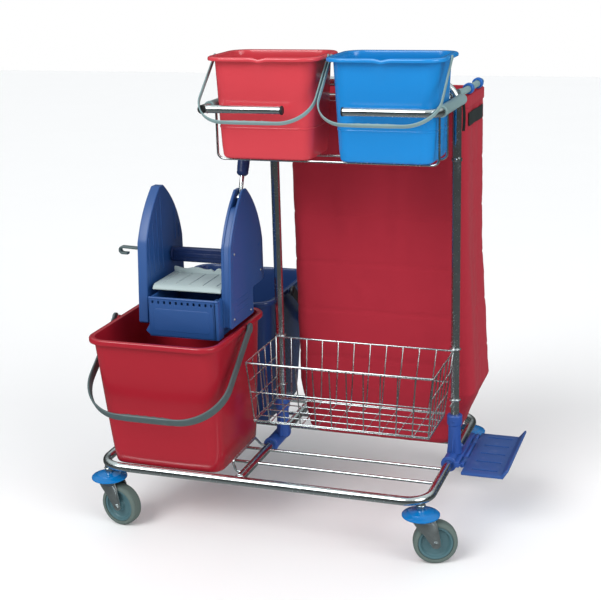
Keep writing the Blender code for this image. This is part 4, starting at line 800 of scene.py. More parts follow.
@dataclass
class Castor:
    """One swivel castor under a bumper disc."""

    corner: Corner
    plate: float = 0.003
    cheek_gap: float = 0.0172
    crown: float = 0.021
    axle: float = 0.004
    hub: float = 0.0395
    hub_width: float = 0.025
    tyre_width: float = 0.030
    tip: float = 0.0105

    def build(self) -> None:
        """Make the disc, the fork, the hub and the tyre."""
        self.name = self.corner.value
        self.swivel = Vector(JOINTS["swivel_" + self.name]["pos_m"])
        self.centre = Vector(JOINTS["wheel_spin_" + self.name]["pos_m"])
        trail = Vector((self.centre.x - self.swivel.x, self.centre.y - self.swivel.y, 0.0))
        self.trail = trail.length
        self.turn = Matrix.Rotation(math.atan2(trail.y, trail.x), 4, "Z")
        self.bumper()
        self.fork()
        self.wheel()

    def bumper(self) -> None:
        """The shallow blue disc that wards off walls, with a stepped crown."""
        span = Span.of("bumper_" + self.name)
        reach, low, high = span.size.x / 2, span.lo.z, span.hi.z
        profile = [(0.0, low), (reach - 0.0012, low), (reach, low + 0.0010), (reach, low + 0.0034),
                   (reach - 0.0016, low + 0.0049), (0.034, low + 0.0068), (0.030, low + 0.0086),
                   (0.0285, low + 0.0104), (0.016, high - 0.0008), (0.0135, high), (0.0, high)]
        place = Matrix.Translation((span.mid.x, span.mid.y, 0.0))
        Form().turned(profile, place, 64).piece(
            "castor_disc_" + self.name, BUMPER_BLUE, "frame", ["bumper_" + self.name], "bumper_blue")

    def fork(self) -> None:
        """Two pressed cheeks, the ball race between them and the axle bolt with its nuts."""
        top = self.swivel.z
        stand = Matrix.Translation((self.swivel.x, self.swivel.y, 0.0)) @ self.turn
        form = Form()
        crown = [(0.0, top - 0.0098), (0.014, top - 0.0098), (self.crown - 0.001, top - 0.0070),
                 (self.crown, top - 0.0055), (self.crown, top - 0.0036), (self.crown - 0.002, top - 0.0030),
                 (self.crown - 0.002, top - 0.0014), (self.crown - 0.0035, top), (0.0, top)]
        form.turned(crown, stand)
        bridge = ring_of(self.trail + 0.018, 2 * (self.cheek_gap + self.plate), 0.010, 6, 1)
        middle = Matrix.Translation((self.trail / 2 - 0.008, 0.0, top - 0.0022))
        form.slab(bridge, 0.0030, stand @ middle, 0.0008)
        for way in (-1, 1):
            upright = Matrix.Translation((0.0, way * (self.cheek_gap + self.plate / 2), 0.0))
            form.slab(self.cheek(top), self.plate, stand @ upright @ UPRIGHT, 0.0007)
            form.slab(self.pressing(top), 0.0016, stand @ Matrix.Translation(
                (0.0, way * (self.cheek_gap + self.plate + 0.0002), 0.0)) @ UPRIGHT, 0.0007)
        bolt = stand @ Matrix.Translation((self.trail, 0.0, self.centre.z)) @ UPRIGHT
        reach = self.cheek_gap + self.plate
        form.turned([(0.0, -reach), (self.axle, -reach), (self.axle, reach), (0.0, reach)], bolt, 24)
        for way in (-1, 1):
            self.nut(form, bolt @ Matrix.Translation((0.0, 0.0, way * reach)), way)
        form.piece("castor_fork_" + self.name, ZINC, f"fork_{self.name}_body", ["fork_" + self.name], "zinc")

    def nut(self, form: Form, seat: Matrix, way: int) -> None:
        """A washer and a six-sided head on the axle."""
        form.turned([(0.0, 0.0), (0.0072, 0.0), (0.0072, way * 0.0009), (0.0, way * 0.0009)], seat, 32)
        head = [(0.0058 * math.cos(math.tau * k / 6), 0.0058 * math.sin(math.tau * k / 6)) for k in range(6)]
        form.slab(head, 0.0030, seat @ Matrix.Translation((0.0, 0.0, way * 0.0016)), 0.0006, 2)

    def cheek(self, top: float) -> list[tuple[float, float]]:
        """A cheek's outline seen from the side: broad at the crown, round at the axle."""
        points = [(-self.crown + 0.002, top - 0.0008), (-self.crown + 0.002, top - 0.008),
                  (-0.010, top - 0.022), (0.006, top - 0.040)]
        for k in range(11):
            angle = math.radians(195 + 165 * k / 10)
            points.append(
                (self.trail + self.tip * math.cos(angle), self.centre.z + self.tip * math.sin(angle)))
        points += [(self.trail + 0.0095, self.centre.z + 0.012), (self.trail + 0.002, top - 0.014),
                   (self.trail - 0.004, top - 0.0008)]
        return points

    def pressing(self, top: float) -> list[tuple[float, float]]:
        """The raised rib pressed into a cheek."""
        return [(-0.006, top - 0.012), (0.012, top - 0.034), (self.trail - 0.004, self.centre.z + 0.013),
                (self.trail + 0.004, self.centre.z + 0.013), (self.trail - 0.001, top - 0.020),
                (self.trail - 0.008, top - 0.010)]

    def wheel(self) -> None:
        """The hub with its recessed web, and the crowned tyre with two fine grooves."""
        spin = Matrix.Translation(self.centre) @ self.turn @ UPRIGHT
        half = self.hub_width / 2
        bore, boss = self.axle + 0.0006, half + 0.0015
        side = [(bore, boss), (0.0115, boss), (0.0125, boss - 0.0006), (0.0132, half - 0.004),
                (0.0150, half - 0.0065), (0.0300, half - 0.0065), (0.0325, half - 0.004),
                (0.0340, half - 0.0006), (0.0350, half), (self.hub - 0.0008, half), (self.hub, half - 0.0008)]
        profile = mirrored(side)
        body = "wheel_" + self.name
        Form().turned(profile, spin, 64).piece(
            "castor_hub_" + self.name, HUB_GREY, body, ["hub_" + self.name], "hub_grey")
        half, outer, inner = self.tyre_width / 2, self.centre.z, self.hub + RUNNING_GAP
        side = [(inner, half - 0.0010), (inner + 0.0010, half), (outer - 0.0052, half),
                (outer - 0.0026, half - 0.0012), (outer - 0.0010, half - 0.0034),
                (outer - 0.0004, half - 0.0055), (outer - 0.0012, half - 0.0062),
                (outer - 0.0003, half - 0.0070), (outer, half - 0.0100)]
        profile = mirrored(side)
        Form().turned(profile, spin, 72).piece(
            "castor_tyre_" + self.name, TYRE_GREY, body, ["tyre_" + self.name], "tyre_grey")


# --------------------------------------------------------------- uprights


@dataclass
class Uprights:
    """The bent tube, the two moulded sockets it stands in and its small fixings."""

    tube: float = 0.0105
    bend: float = 0.050
    sleeve: float = 0.0150
    collar: float = 0.0180
    clamp: float = 0.0185
    clamp_length: float = 0.100
    collar_height: float = 0.024
    knuckle: float = 0.0055
    arm_front: float = -0.056
    arm_back: float = 0.135
    ring_height: float = 0.866

    def build(self) -> None:
        """Make the tube, both sockets and the fixings."""
        span = Span.of("upright_frame")
        self.deep = span.mid.y
        self.left, self.right = span.lo.x + self.tube, span.hi.x - self.tube
        top = span.hi.z - self.tube
        corners = [Vector((self.left, self.deep, span.lo.z)), Vector((self.left, self.deep, top)),
                   Vector((self.right, self.deep, top)), Vector((self.right, self.deep, span.lo.z))]
        path = divided(bent(corners, self.bend, steps=14), 0.12)
        Form().tube(path, self.tube, 32).piece(
            "upright_tube", CHROME, "frame", ["upright_frame"], "steel")
        self.socket("left_socket", self.left, Span.of("cross_tube").mid.x)
        self.socket("right_socket", self.right, Span.of("base_loop").hi.x - self.tube)
        self.fixings()

    def socket(self, name: str, upright: float, tube: float) -> None:
        """A moulded T whose clamp grips a base tube and whose sleeve grips an upright."""
        span = Span.of(name)
        level = Span.of("cross_tube").mid.z
        top = span.hi.z
        half = self.clamp_length / 2
        bore = self.tube + RUNNING_GAP
        barrel = [(bore, -half), (self.clamp - 0.0012, -half), (self.clamp, -half + 0.0012),
                  (self.clamp, -half + 0.006), (self.clamp - 0.0016, -half + 0.0075)]
        profile = mirrored(barrel)
        form = Form().turned(profile, facing(Y_AXIS, Vector((tube, self.deep, level))), 56)
        height = top - level
        neck = top - self.collar_height
        sleeve = [(bore, level + 0.012), (self.sleeve + 0.0028, level + 0.012),
                  (self.sleeve + 0.0012, level + 0.026), (self.sleeve, level + 0.45 * height),
                  (self.sleeve, neck - 0.002), (self.collar - 0.0008, neck), (self.collar, neck + 0.0016),
                  (self.collar, top - 0.0022), (self.collar - 0.0016, top), (bore, top)]
        form.turned(sleeve, Matrix.Translation((upright, self.deep, 0.0)), 56)
        for way in (-1, 1):
            rib = [(-0.009, 0.0), (0.009, 0.0), (0.0, 0.052)]
            view = Matrix.Translation((upright, self.deep + way * self.sleeve, level + 0.014))
            form.slab(rib, 0.004, view @ across(0.0), 0.0008)
        screw = facing(-Y_AXIS, Vector((upright, self.deep - self.collar + 0.0004, top - 0.012)))
        form.turned(screw_profile(0.0034), screw, 24)
        if name == "right_socket":
            self.bracket(form)
        form.piece(name + "_moulding", SOCKET_BLUE, "frame", [name], "socket_blue")

    def bracket(self, form: Form) -> None:
        """The arm beside the right socket with the fixed hinge knuckles and the pin."""
        hinge = Vector(JOINTS["foot_plate_fold"]["pos_m"])
        inner = hinge.x - self.knuckle - 0.0015
        front, back = self.deep + self.arm_front, self.deep + self.arm_back
        form.block(Vector((self.right + self.tube + 0.001, front, hinge.z - 0.007)),
                   Vector((inner, back, hinge.z + 0.007)), 0.002)
        plate = Span.of("foot_plate")
        spans = knuckles(plate)
        lows = [front, spans[0][1] + RUNNING_GAP, spans[1][1] + RUNNING_GAP]
        highs = [spans[0][0] - RUNNING_GAP, spans[1][0] - RUNNING_GAP, back]
        for low, high in zip(lows, highs):
            start, end = Vector((hinge.x, low, hinge.z)), Vector((hinge.x, high, hinge.z))
            form.rod(start, end, self.knuckle, 0.0008)
            form.block(Vector((inner - 0.002, low, hinge.z - 0.003)),
                       Vector((hinge.x, high, hinge.z + 0.003)))

    def fixings(self) -> None:
        """The clip ring on the right upright and the button screws that hold the tray."""
        form = Form()
        ring = [(self.tube + 0.0002, -0.004), (self.tube + 0.0018, -0.004), (self.tube + 0.0022, 0.0),
                (self.tube + 0.0018, 0.004), (self.tube + 0.0002, 0.004)]
        form.turned(ring, Matrix.Translation((self.right, self.deep, self.ring_height)), 40)
        seat = Vector((self.right, self.deep - self.tube - 0.0016, self.ring_height))
        form.turned(screw_profile(0.0042), facing(-Y_AXIS, seat), 24)
        form.piece("upright_clip_ring", WIRE_CHROME, "frame", (), "steel")


def screw_profile(radius: float) -> list[tuple[float, float]]:
    """A pan head with a shallow socket."""
    return [(0.0, -0.001), (radius, -0.001), (radius, 0.0006), (0.8 * radius, 0.0015),
            (0.42 * radius, 0.0019), (0.36 * radius, 0.0008), (0.0, 0.0007)]


def knuckles(plate: Span) -> list[tuple[float, float]]:
    """Where the foot plate's own knuckles lie along its width."""
    width, half = plate.size.y, 0.014
    middles = [plate.lo.y + 0.30 * width, plate.lo.y + 0.78 * width]
    return [(middle - half, middle + half) for middle in middles]


@dataclass
class FootPlate:
    """The slotted step that folds up on its pin."""

    thickness: float = 0.007
    knuckle: float = 0.0055
    reach: float = 0.103
    lip_reach: float = 0.014
    slots: int = 5
    slot_length: float = 0.060
    slot_width: float = 0.006

    def build(self) -> None:
        """The deck with its slots, the raised outer lip, the ribs and the knuckles."""
        span = Span.of("foot_plate")
        hinge = Vector(JOINTS["foot_plate_fold"]["pos_m"])
        clear = self.knuckle + 0.0015
        start, width = hinge.x + clear, span.size.y
        columns = [start, start + 0.020, start + 0.020 + self.slot_length, hinge.x + self.reach]
        rows = [span.lo.y]
        for k in range(self.slots):
            middle = span.lo.y + width * (k + 0.5) / self.slots + 0.002
            rows += [middle - self.slot_width / 2, middle + self.slot_width / 2]
        rows.append(span.hi.y)
        level = Matrix.Translation((0.0, 0.0, hinge.z))
        form = Form().pierced(
            columns, rows, lambda i, j: i == 1 and j % 2 == 1, self.thickness, level, 0.0012)
        rise = span.hi.z - hinge.z
        edge = self.reach
        lip = [(edge - 0.004, -self.thickness / 2), (edge + 0.001, -self.thickness / 2),
               (edge + self.lip_reach, rise - 0.005), (edge + self.lip_reach, rise - 0.0004),
               (edge + self.lip_reach - 0.0035, rise - 0.0004), (edge - 0.004, self.thickness / 2)]
        view = Matrix.Translation((hinge.x, span.mid.y, hinge.z)) @ UPRIGHT
        form.slab(lip, width - 0.0004, view, 0.0010)
        for low, high in knuckles(span):
            form.rod(Vector((hinge.x, low, hinge.z)), Vector((hinge.x, high, hinge.z)), self.knuckle, 0.0008)
            form.block(Vector((hinge.x, low, hinge.z - 0.003)),
                       Vector((start + 0.003, high, hinge.z + 0.003)))
        for k in range(1, self.slots):
            y = span.lo.y + width * k / self.slots + 0.002
            form.block(Vector((start + 0.004, y - 0.001, hinge.z - 0.0045)),
                       Vector((hinge.x + edge - 0.006, y + 0.001, hinge.z - 0.003)), 0.0004, 1)
        form.piece("foot_plate_step", PLATE_BLUE, "foot_plate_body", ["foot_plate"], "socket_blue")


# --------------------------------------------------------------- buckets


@dataclass
class Tub:
    """A tapered moulded tub with a rolled flange; buckets and pails share it."""

    node: str
    body: str
    slot: str
    finish: Finish
    foot: tuple[float, float]
    lean: float
    wall: float
    flange: tuple[float, float]
    corner: float
    crown: float = 0.0
    spout: float = 0.0

    def build(self) -> None:
        """Loft the outside, the flange and the inside as one skin."""
        span = Span.of(self.node)
        self.span = span
        rings = self.outside(span) + self.rim(span) + self.inside(span)
        if self.spout:
            rings = [[self.poured(point) for point in ring] for ring in rings]
        form = Form().loft(rings)
        self.trim(form)
        form.piece(self.node + "_tub", self.finish, self.body, [self.node], self.slot, math.radians(50))

    def ring(self, share: float, inset: float, height: float, drop: float = 0.0) -> list[Vector]:
        """The section at a share of the height, pulled in by inset and set at a height."""
        rim = (self.span.size.x - 2 * self.flange[0], self.span.size.y - 2 * self.flange[0])
        length = self.foot[0] + (rim[0] - self.foot[0]) * share
        depth = self.foot[1] + (rim[1] - self.foot[1]) * share
        middle = self.span.mid + Y_AXIS * self.lean * (1 - share)
        roll = 0.35 * self.corner
        corner = roll + (self.corner - roll) * (0.5 + 0.5 * share) - 0.5 * inset
        swell = self.crown * math.sin(math.pi * min(1.0, share + 0.25)) * (1.0 if share < 1.0 else 0.0)
        points = []
        for point in ring_of(length - 2 * inset, depth - 2 * inset, corner, 10, 9):
            across = 1 - (2 * point.x / length) ** 2
            along = 1 - (2 * point.y / depth) ** 2
            outward = Vector((math.copysign(max(0.0, along), point.x),
                              math.copysign(max(0.0, across), point.y), 0.0)) * swell
            points.append(Vector((middle.x, middle.y, height - drop)) + point + outward)
        return points

    def outside(self, span: Span) -> list[list[Vector]]:
        """Sections from under the floor up to the flange."""
        low, tall = span.lo.z, span.size.z
        rings = [self.ring(0.0, 0.050, low + 0.0022), self.ring(0.0, 0.016, low + 0.0022),
                 self.ring(0.0, 0.012, low), self.ring(0.0, 0.006, low + 0.0004),
                 self.ring(0.0, 0.0022, low + 0.0026), self.ring(0.0, 0.0006, low + 0.0065)]
        under = 1 - self.flange[1] / tall
        for k in range(1, 9):
            share = under * k / 8
            rings.append(self.ring(share, 0.0, low + share * tall))
        return rings

    def rim(self, span: Span) -> list[list[Vector]]:
        """Sections round the rolled flange."""
        wide, deep = self.flange
        top = span.hi.z
        steps = [(0.0, deep), (-0.70 * wide, deep - 0.0004), (-wide + 0.0006, deep - 0.0008),
                 (-wide, deep - 0.0022), (-wide, 0.0034), (-wide + 0.0012, 0.0012), (-wide + 0.0034, 0.0),
                 (-0.15 * wide, 0.0004), (self.wall - 0.0010, 0.0012), (self.wall + 0.0002, 0.0040)]
        return [self.ring(1.0, inset, top, drop) for inset, drop in steps]

    def inside(self, span: Span) -> list[list[Vector]]:
        """Sections down the inner wall to the floor."""
        low, tall = span.lo.z, span.size.z
        rings = [self.ring(share, self.wall, low + share * tall)
                 for share in (0.94, 0.8, 0.65, 0.5, 0.35, 0.2, 0.08)]
        rings.append(self.ring(0.0, self.wall + 0.002, low + self.wall + 0.005))
        rings.append(self.ring(0.0, self.wall + 0.006, low + self.wall + 0.0012))
        rings.append(self.ring(0.0, self.wall + 0.014, low + self.wall))
        return rings

    def poured(self, point: Vector) -> Vector:
        """Press the pouring lip into the front of the rim."""
        half, drop = 0.019, 0.030
        nearness = max(0.0, 1 - abs(point.x - self.span.mid.x) / half)
        below = min(1.0, max(0.0, 1 - (self.span.hi.z - point.z) / drop))
        if point.y > self.span.lo.y + 0.030 or nearness * below == 0.0:
            return point
        amount = self.spout * nearness ** 0.8 * below
        outer = self.span.lo.y + 0.0012
        moved = point - Y_AXIS * amount
        moved.y = max(moved.y, min(point.y, outer))
        moved.z -= 0.0045 * nearness ** 1.5 * below
        return moved

    def trim(self, form: Form) -> None:
        """Add what one kind of tub has and the other has not."""


@dataclass
class MopBucket(Tub):
    """A large bucket that stands on the base."""

    def trim(self, form: Form) -> None:
        """Lugs for the bail pins."""
        pivot = Vector(JOINTS[self.node.replace("bucket", "bail") + "_swing"]["pos_m"])
        for way in (-1, 1):
            seat = Vector((self.span.mid.x + way * self.span.size.x / 2 - way * 0.001, pivot.y, pivot.z))
            lug = [(0.0, 0.0), (0.0085, 0.0), (0.0080, 0.0030), (0.0060, 0.0040), (0.0, 0.0040)]
            form.turned(lug, facing(X_AXIS * way, seat), 32)


@dataclass
class Pail(Tub):
    """A small pail with a pouring lip."""

    def trim(self, form: Form) -> None:
        """A shallow stacking step round the wall."""
        low, tall = self.span.lo.z, self.span.size.z
        steps = [(0.300, 0.0), (0.304, -0.0010), (0.318, -0.0010), (0.322, 0.0)]
        form.loft([self.ring(share, inset, low + share * tall) for share, inset in steps], caps=False)


@dataclass
class Bail:
    """A moulded bail: two flat arms, rounded shoulders and a ribbed grip."""

    node: str
    joint: str
    body: str
    slot: str
    finish: Finish
    side: Side
    rest: float
    reach: float
    corner: float
    thick: float
    deep: float
    grip: float
    waves: int

    def build(self) -> None:
        """Sweep the strip and add the bosses, the pins and the grip's waves."""
        pivot = Vector(JOINTS[self.joint]["pos_m"])
        half = Span.of(self.node).size.x / 2 - self.thick / 2 - 0.0006
        down = math.radians(self.rest)
        away = Vector((0.0, self.side.value * math.cos(down), -math.sin(down)))
        normal = X_AXIS.cross(away).normalized()
        corners = [pivot - X_AXIS * half, pivot - X_AXIS * half + away * self.reach,
                   pivot + X_AXIS * half + away * self.reach, pivot + X_AXIS * half]
        path = divided(bent(corners, self.corner, steps=18), 0.006)
        sizes = [self.swell(abs((point - pivot).dot(X_AXIS)), (point - pivot).dot(away)) for point in path]
        form = Form().band(path, normal, sizes, self.deep)
        self.flutes(form, pivot + away * self.reach, away, normal)
        for way in (-1, 1):
            form.turned(self.boss(), facing(X_AXIS * way, pivot + X_AXIS * way * half), 40)
        form.piece(self.node + "_moulding", self.finish, self.body, [self.node], self.slot)

    def swell(self, across: float, along: float) -> float:
        """The strip's thickness: fuller over the grip, with an even run-out."""
        edge = self.grip / 2
        fade = min(1.0, max(0.0, (edge + 0.012 - across) / 0.012)) if along > 0.5 * self.reach else 0.0
        return self.thick * (1 + 0.6 * fade * fade * (3 - 2 * fade))

    def flutes(self, form: Form, middle: Vector, away: Vector, normal: Vector) -> None:
        """Finger waves on the inner side of the grip and raised edges along it."""
        pitch = self.grip / self.waves
        for k in range(self.waves):
            centre = middle + X_AXIS * (pitch * (k + 0.5) - self.grip / 2) - away * self.thick * 0.45
            path = [centre - X_AXIS * pitch * 0.42, centre - away * self.thick * 0.18,
                    centre + X_AXIS * pitch * 0.42]
            form.band(path, normal, [self.thick * 0.5, self.thick, self.thick * 0.5], self.deep * 0.86)

    def boss(self) -> list[tuple[float, float]]:
        """The round eye that turns on the pin, with the pin's head outside it."""
        eye, half = 0.54 * self.deep, 0.6 * self.thick
        pin = 0.2 * self.deep
        return [(0.0, -half), (eye - 0.0008, -half), (eye, -half + 0.0008), (eye, half - 0.0008),
                (eye - 0.0008, half), (pin + 0.0012, half), (pin, half + 0.0006), (0.0, half + 0.0006)]


# ------------------------------------------------------------------- tray


@dataclass
class Tray:
    """The bars that hold the pails, with their sleeves, plugs and cradle wires."""

    bar: float = 0.0095
    bend: float = 0.030
    wire: float = 0.0027
    wire_bend: float = 0.014

    def build(self) -> None:
        """Make the bars, the plugs, the sleeves, the rail and the wires."""
        self.right_bar()
        self.left_bar()
        for side in ("left", "right"):
            self.sleeve(side)
        rail = Span.of("tray_back_rail")
        radius = rail.size.z / 2
        ends = [Vector((x, rail.mid.y, rail.mid.z)) for x in (rail.lo.x, rail.hi.x)]
        Form().rod(ends[0], ends[1], radius, 0.0010, 28).piece(
            "tray_rail_tube", CHROME, "frame", ["tray_back_rail"], "steel")
        for name in ("cradle_wire_front", "cradle_wire_back"):
            self.cradle(name)

    def right_bar(self) -> None:
        """The bent bar on the right with its plugged front end."""
        span = Span.of("tray_bar_right")
        level, x, front = span.mid.z, span.hi.x - self.bar, span.lo.y + self.bar
        corners = [Vector((span.lo.x, front, level)), Vector((x, front, level)),
                   Vector((x, span.hi.y, level))]
        path = divided(bent(corners, self.bend, steps=14), 0.05)
        Form().tube(path, self.bar, 28).piece(
            "tray_bar_right_tube", CHROME, "frame", ["tray_bar_right"], "steel")
        self.plug("tray_plug_right", Vector((span.lo.x, front, level)), -X_AXIS)

    def left_bar(self) -> None:
        """The side bar on the left with the short arm welded behind its front end."""
        span = Span.of("tray_bar_left")
        level, x, front = span.mid.z, span.lo.x + self.bar, span.lo.y + self.bar
        form = Form().rod(Vector((x, span.lo.y, level)), Vector((x, span.hi.y, level)), self.bar, 0.0008, 28)
        arm = 0.92 * self.bar
        form.rod(Vector((x, front, level)), Vector((span.hi.x, front, level)), arm, sides=28)
        form.turned(bead_profile(arm, 0.0010), facing(X_AXIS, Vector((x + self.bar, front, level))))
        form.piece("tray_bar_left_tube", CHROME, "frame", ["tray_bar_left"], "steel")
        self.plug("tray_plug_left", Vector((span.hi.x, front, level)), X_AXIS)
        self.plug("tray_plug_left_end", Vector((x, span.lo.y, level)), -Y_AXIS)

    def plug(self, name: str, place: Vector, way: Vector) -> None:
        """A pushed-in end plug with a rounded head and a ring."""
        radius = self.bar
        profile = [(0.0, -0.004), (radius - 0.0012, -0.004), (radius + 0.0003, -0.0022),
                   (radius + 0.0003, 0.0006), (radius - 0.0010, 0.0016), (radius - 0.0030, 0.0012),
                   (radius - 0.0036, 0.0020), (0.0, 0.0024)]
        Form().turned(profile, facing(way, place), 40).piece(name, PLUG_BLACK, "frame")

    def sleeve(self, side: str) -> None:
        """The soft grey sleeve that the flanges of the pails rest against."""
        span = Span.of("tray_sleeve_" + side)
        radius, half, bore = span.size.x / 2, span.size.y / 2, self.bar + RUNNING_GAP
        profile = [(bore, -half), (radius - 0.0010, -half), (radius, -half + 0.0012), (radius, -half + 0.006),
                   (radius - 0.0006, -half + 0.008)]
        Form().turned(mirrored(profile), facing(Y_AXIS, span.mid), 40).piece(
            f"tray_sleeve_{side}_moulding", SOFT_GREY, "frame", ["tray_sleeve_" + side], "soft_grey")

    def cradle(self, name: str) -> None:
        """One sagging wire under the pails."""
        span = Span.of(name)
        left, right = span.lo.x + self.wire, span.hi.x - self.wire
        y, low, high = span.mid.y, span.lo.z + self.wire, span.hi.z
        corners = [Vector((left, y, high)), Vector((left, y, low)), Vector((right, y, low)),
                   Vector((right, y, high))]
        path = bent(corners, self.wire_bend, steps=10)
        Form().tube(path, self.wire, 18).piece(name + "_rod", WIRE_CHROME, "frame", [name], "steel")


# ----------------------------------------------------------------- basket


@dataclass
class Basket:
    """The welded wire basket between the uprights."""

    wire: float = 0.0015
    rim: float = 0.0021
    tube: float = 0.0105
    hook_drop: float = 0.125
    smooth: float = math.radians(60)
    long_cells: int = 11
    short_cells: int = 5

    def build(self) -> None:
        """Make the floor, the four walls and the loops that hold it to the uprights."""
        floor, rim = Span.of("basket_floor"), Span.of("basket_front", "basket_back")
        low = floor.mid.z + 0.004
        high = rim.hi.z - self.rim
        foot = [Vector((floor.lo.x, floor.lo.y, low)), Vector((floor.hi.x, floor.lo.y, low)),
                Vector((floor.hi.x, floor.hi.y, low)), Vector((floor.lo.x, floor.hi.y, low))]
        head = [Vector((rim.lo.x, rim.lo.y + self.rim, high)), Vector((rim.hi.x, rim.lo.y + self.rim, high)),
                Vector((rim.hi.x, rim.hi.y - self.rim, high)), Vector((rim.lo.x, rim.hi.y - self.rim, high))]
        walls = {"basket_front": (0, 1, self.long_cells, 2), "basket_right": (1, 2, self.short_cells, 3),
                 "basket_back": (2, 3, self.long_cells, 2), "basket_left": (3, 0, self.short_cells, 3)}
        for name, (a, b, columns, rows) in walls.items():
            form = self.grille(foot[a], foot[b], head[b], head[a], columns, rows)
            form.rod(head[a], head[b], self.rim, 0.0006, 14)
            form.piece(name + "_wires", WIRE_CHROME, "frame", [name], "steel", self.smooth)
        bottom = [point - Z_AXIS * (low - floor.mid.z) for point in foot]
        form = self.grille(bottom[0], bottom[1], bottom[2], bottom[3], self.long_cells, 4)
        form.piece("basket_floor_wires", WIRE_CHROME, "frame", ["basket_floor"], "steel", self.smooth)
        self.loops(high)

    def grille(self, a: Vector, b: Vector, c: Vector, d: Vector, columns: int, rows: int) -> Form:
        """Crossed round wires between four corners."""
        form = Form()
        normal = (b - a).cross(d - a).normalized() * self.wire * 0.55
        for i in range(columns + 1):
            start, end = a.lerp(b, i / columns), d.lerp(c, i / columns)
            form.rod(start - normal, end - normal, self.wire, 0.0004, 10)
        for j in range(rows + 1):
            start, end = a.lerp(d, j / rows), b.lerp(c, j / rows)
            form.rod(start + normal, end + normal, self.wire, 0.0004, 10)
        return form

    def loops(self, height: float) -> None:
        """Wire eyes round both uprights and the lower hooks."""
        span = Span.of("upright_frame")
        form = Form()
        for x in (span.lo.x + self.tube, span.hi.x - self.tube):
            centre = Vector((x, span.mid.y, height))
            reach = self.tube + self.rim
            circle = [centre + Vector((math.cos(math.tau * k / 32), math.sin(math.tau * k / 32), 0.0)) * reach
                      for k in range(32)]
            form.tube(circle, self.rim, 12, closed=True)
            lower = [point - Z_AXIS * self.hook_drop for point in circle]
            form.tube(lower, self.rim, 12, closed=True)
            back = Span.of("basket_back")
            form.rod(centre - Y_AXIS * reach - Z_AXIS * self.hook_drop,
                     Vector((x, back.lo.y + 0.006, height - self.hook_drop)), self.wire, 0.0004, 10)
        form.piece("basket_loops", WIRE_CHROME, "frame", (), "steel", self.smooth)


# ---------------------------------------------------------------- wringer


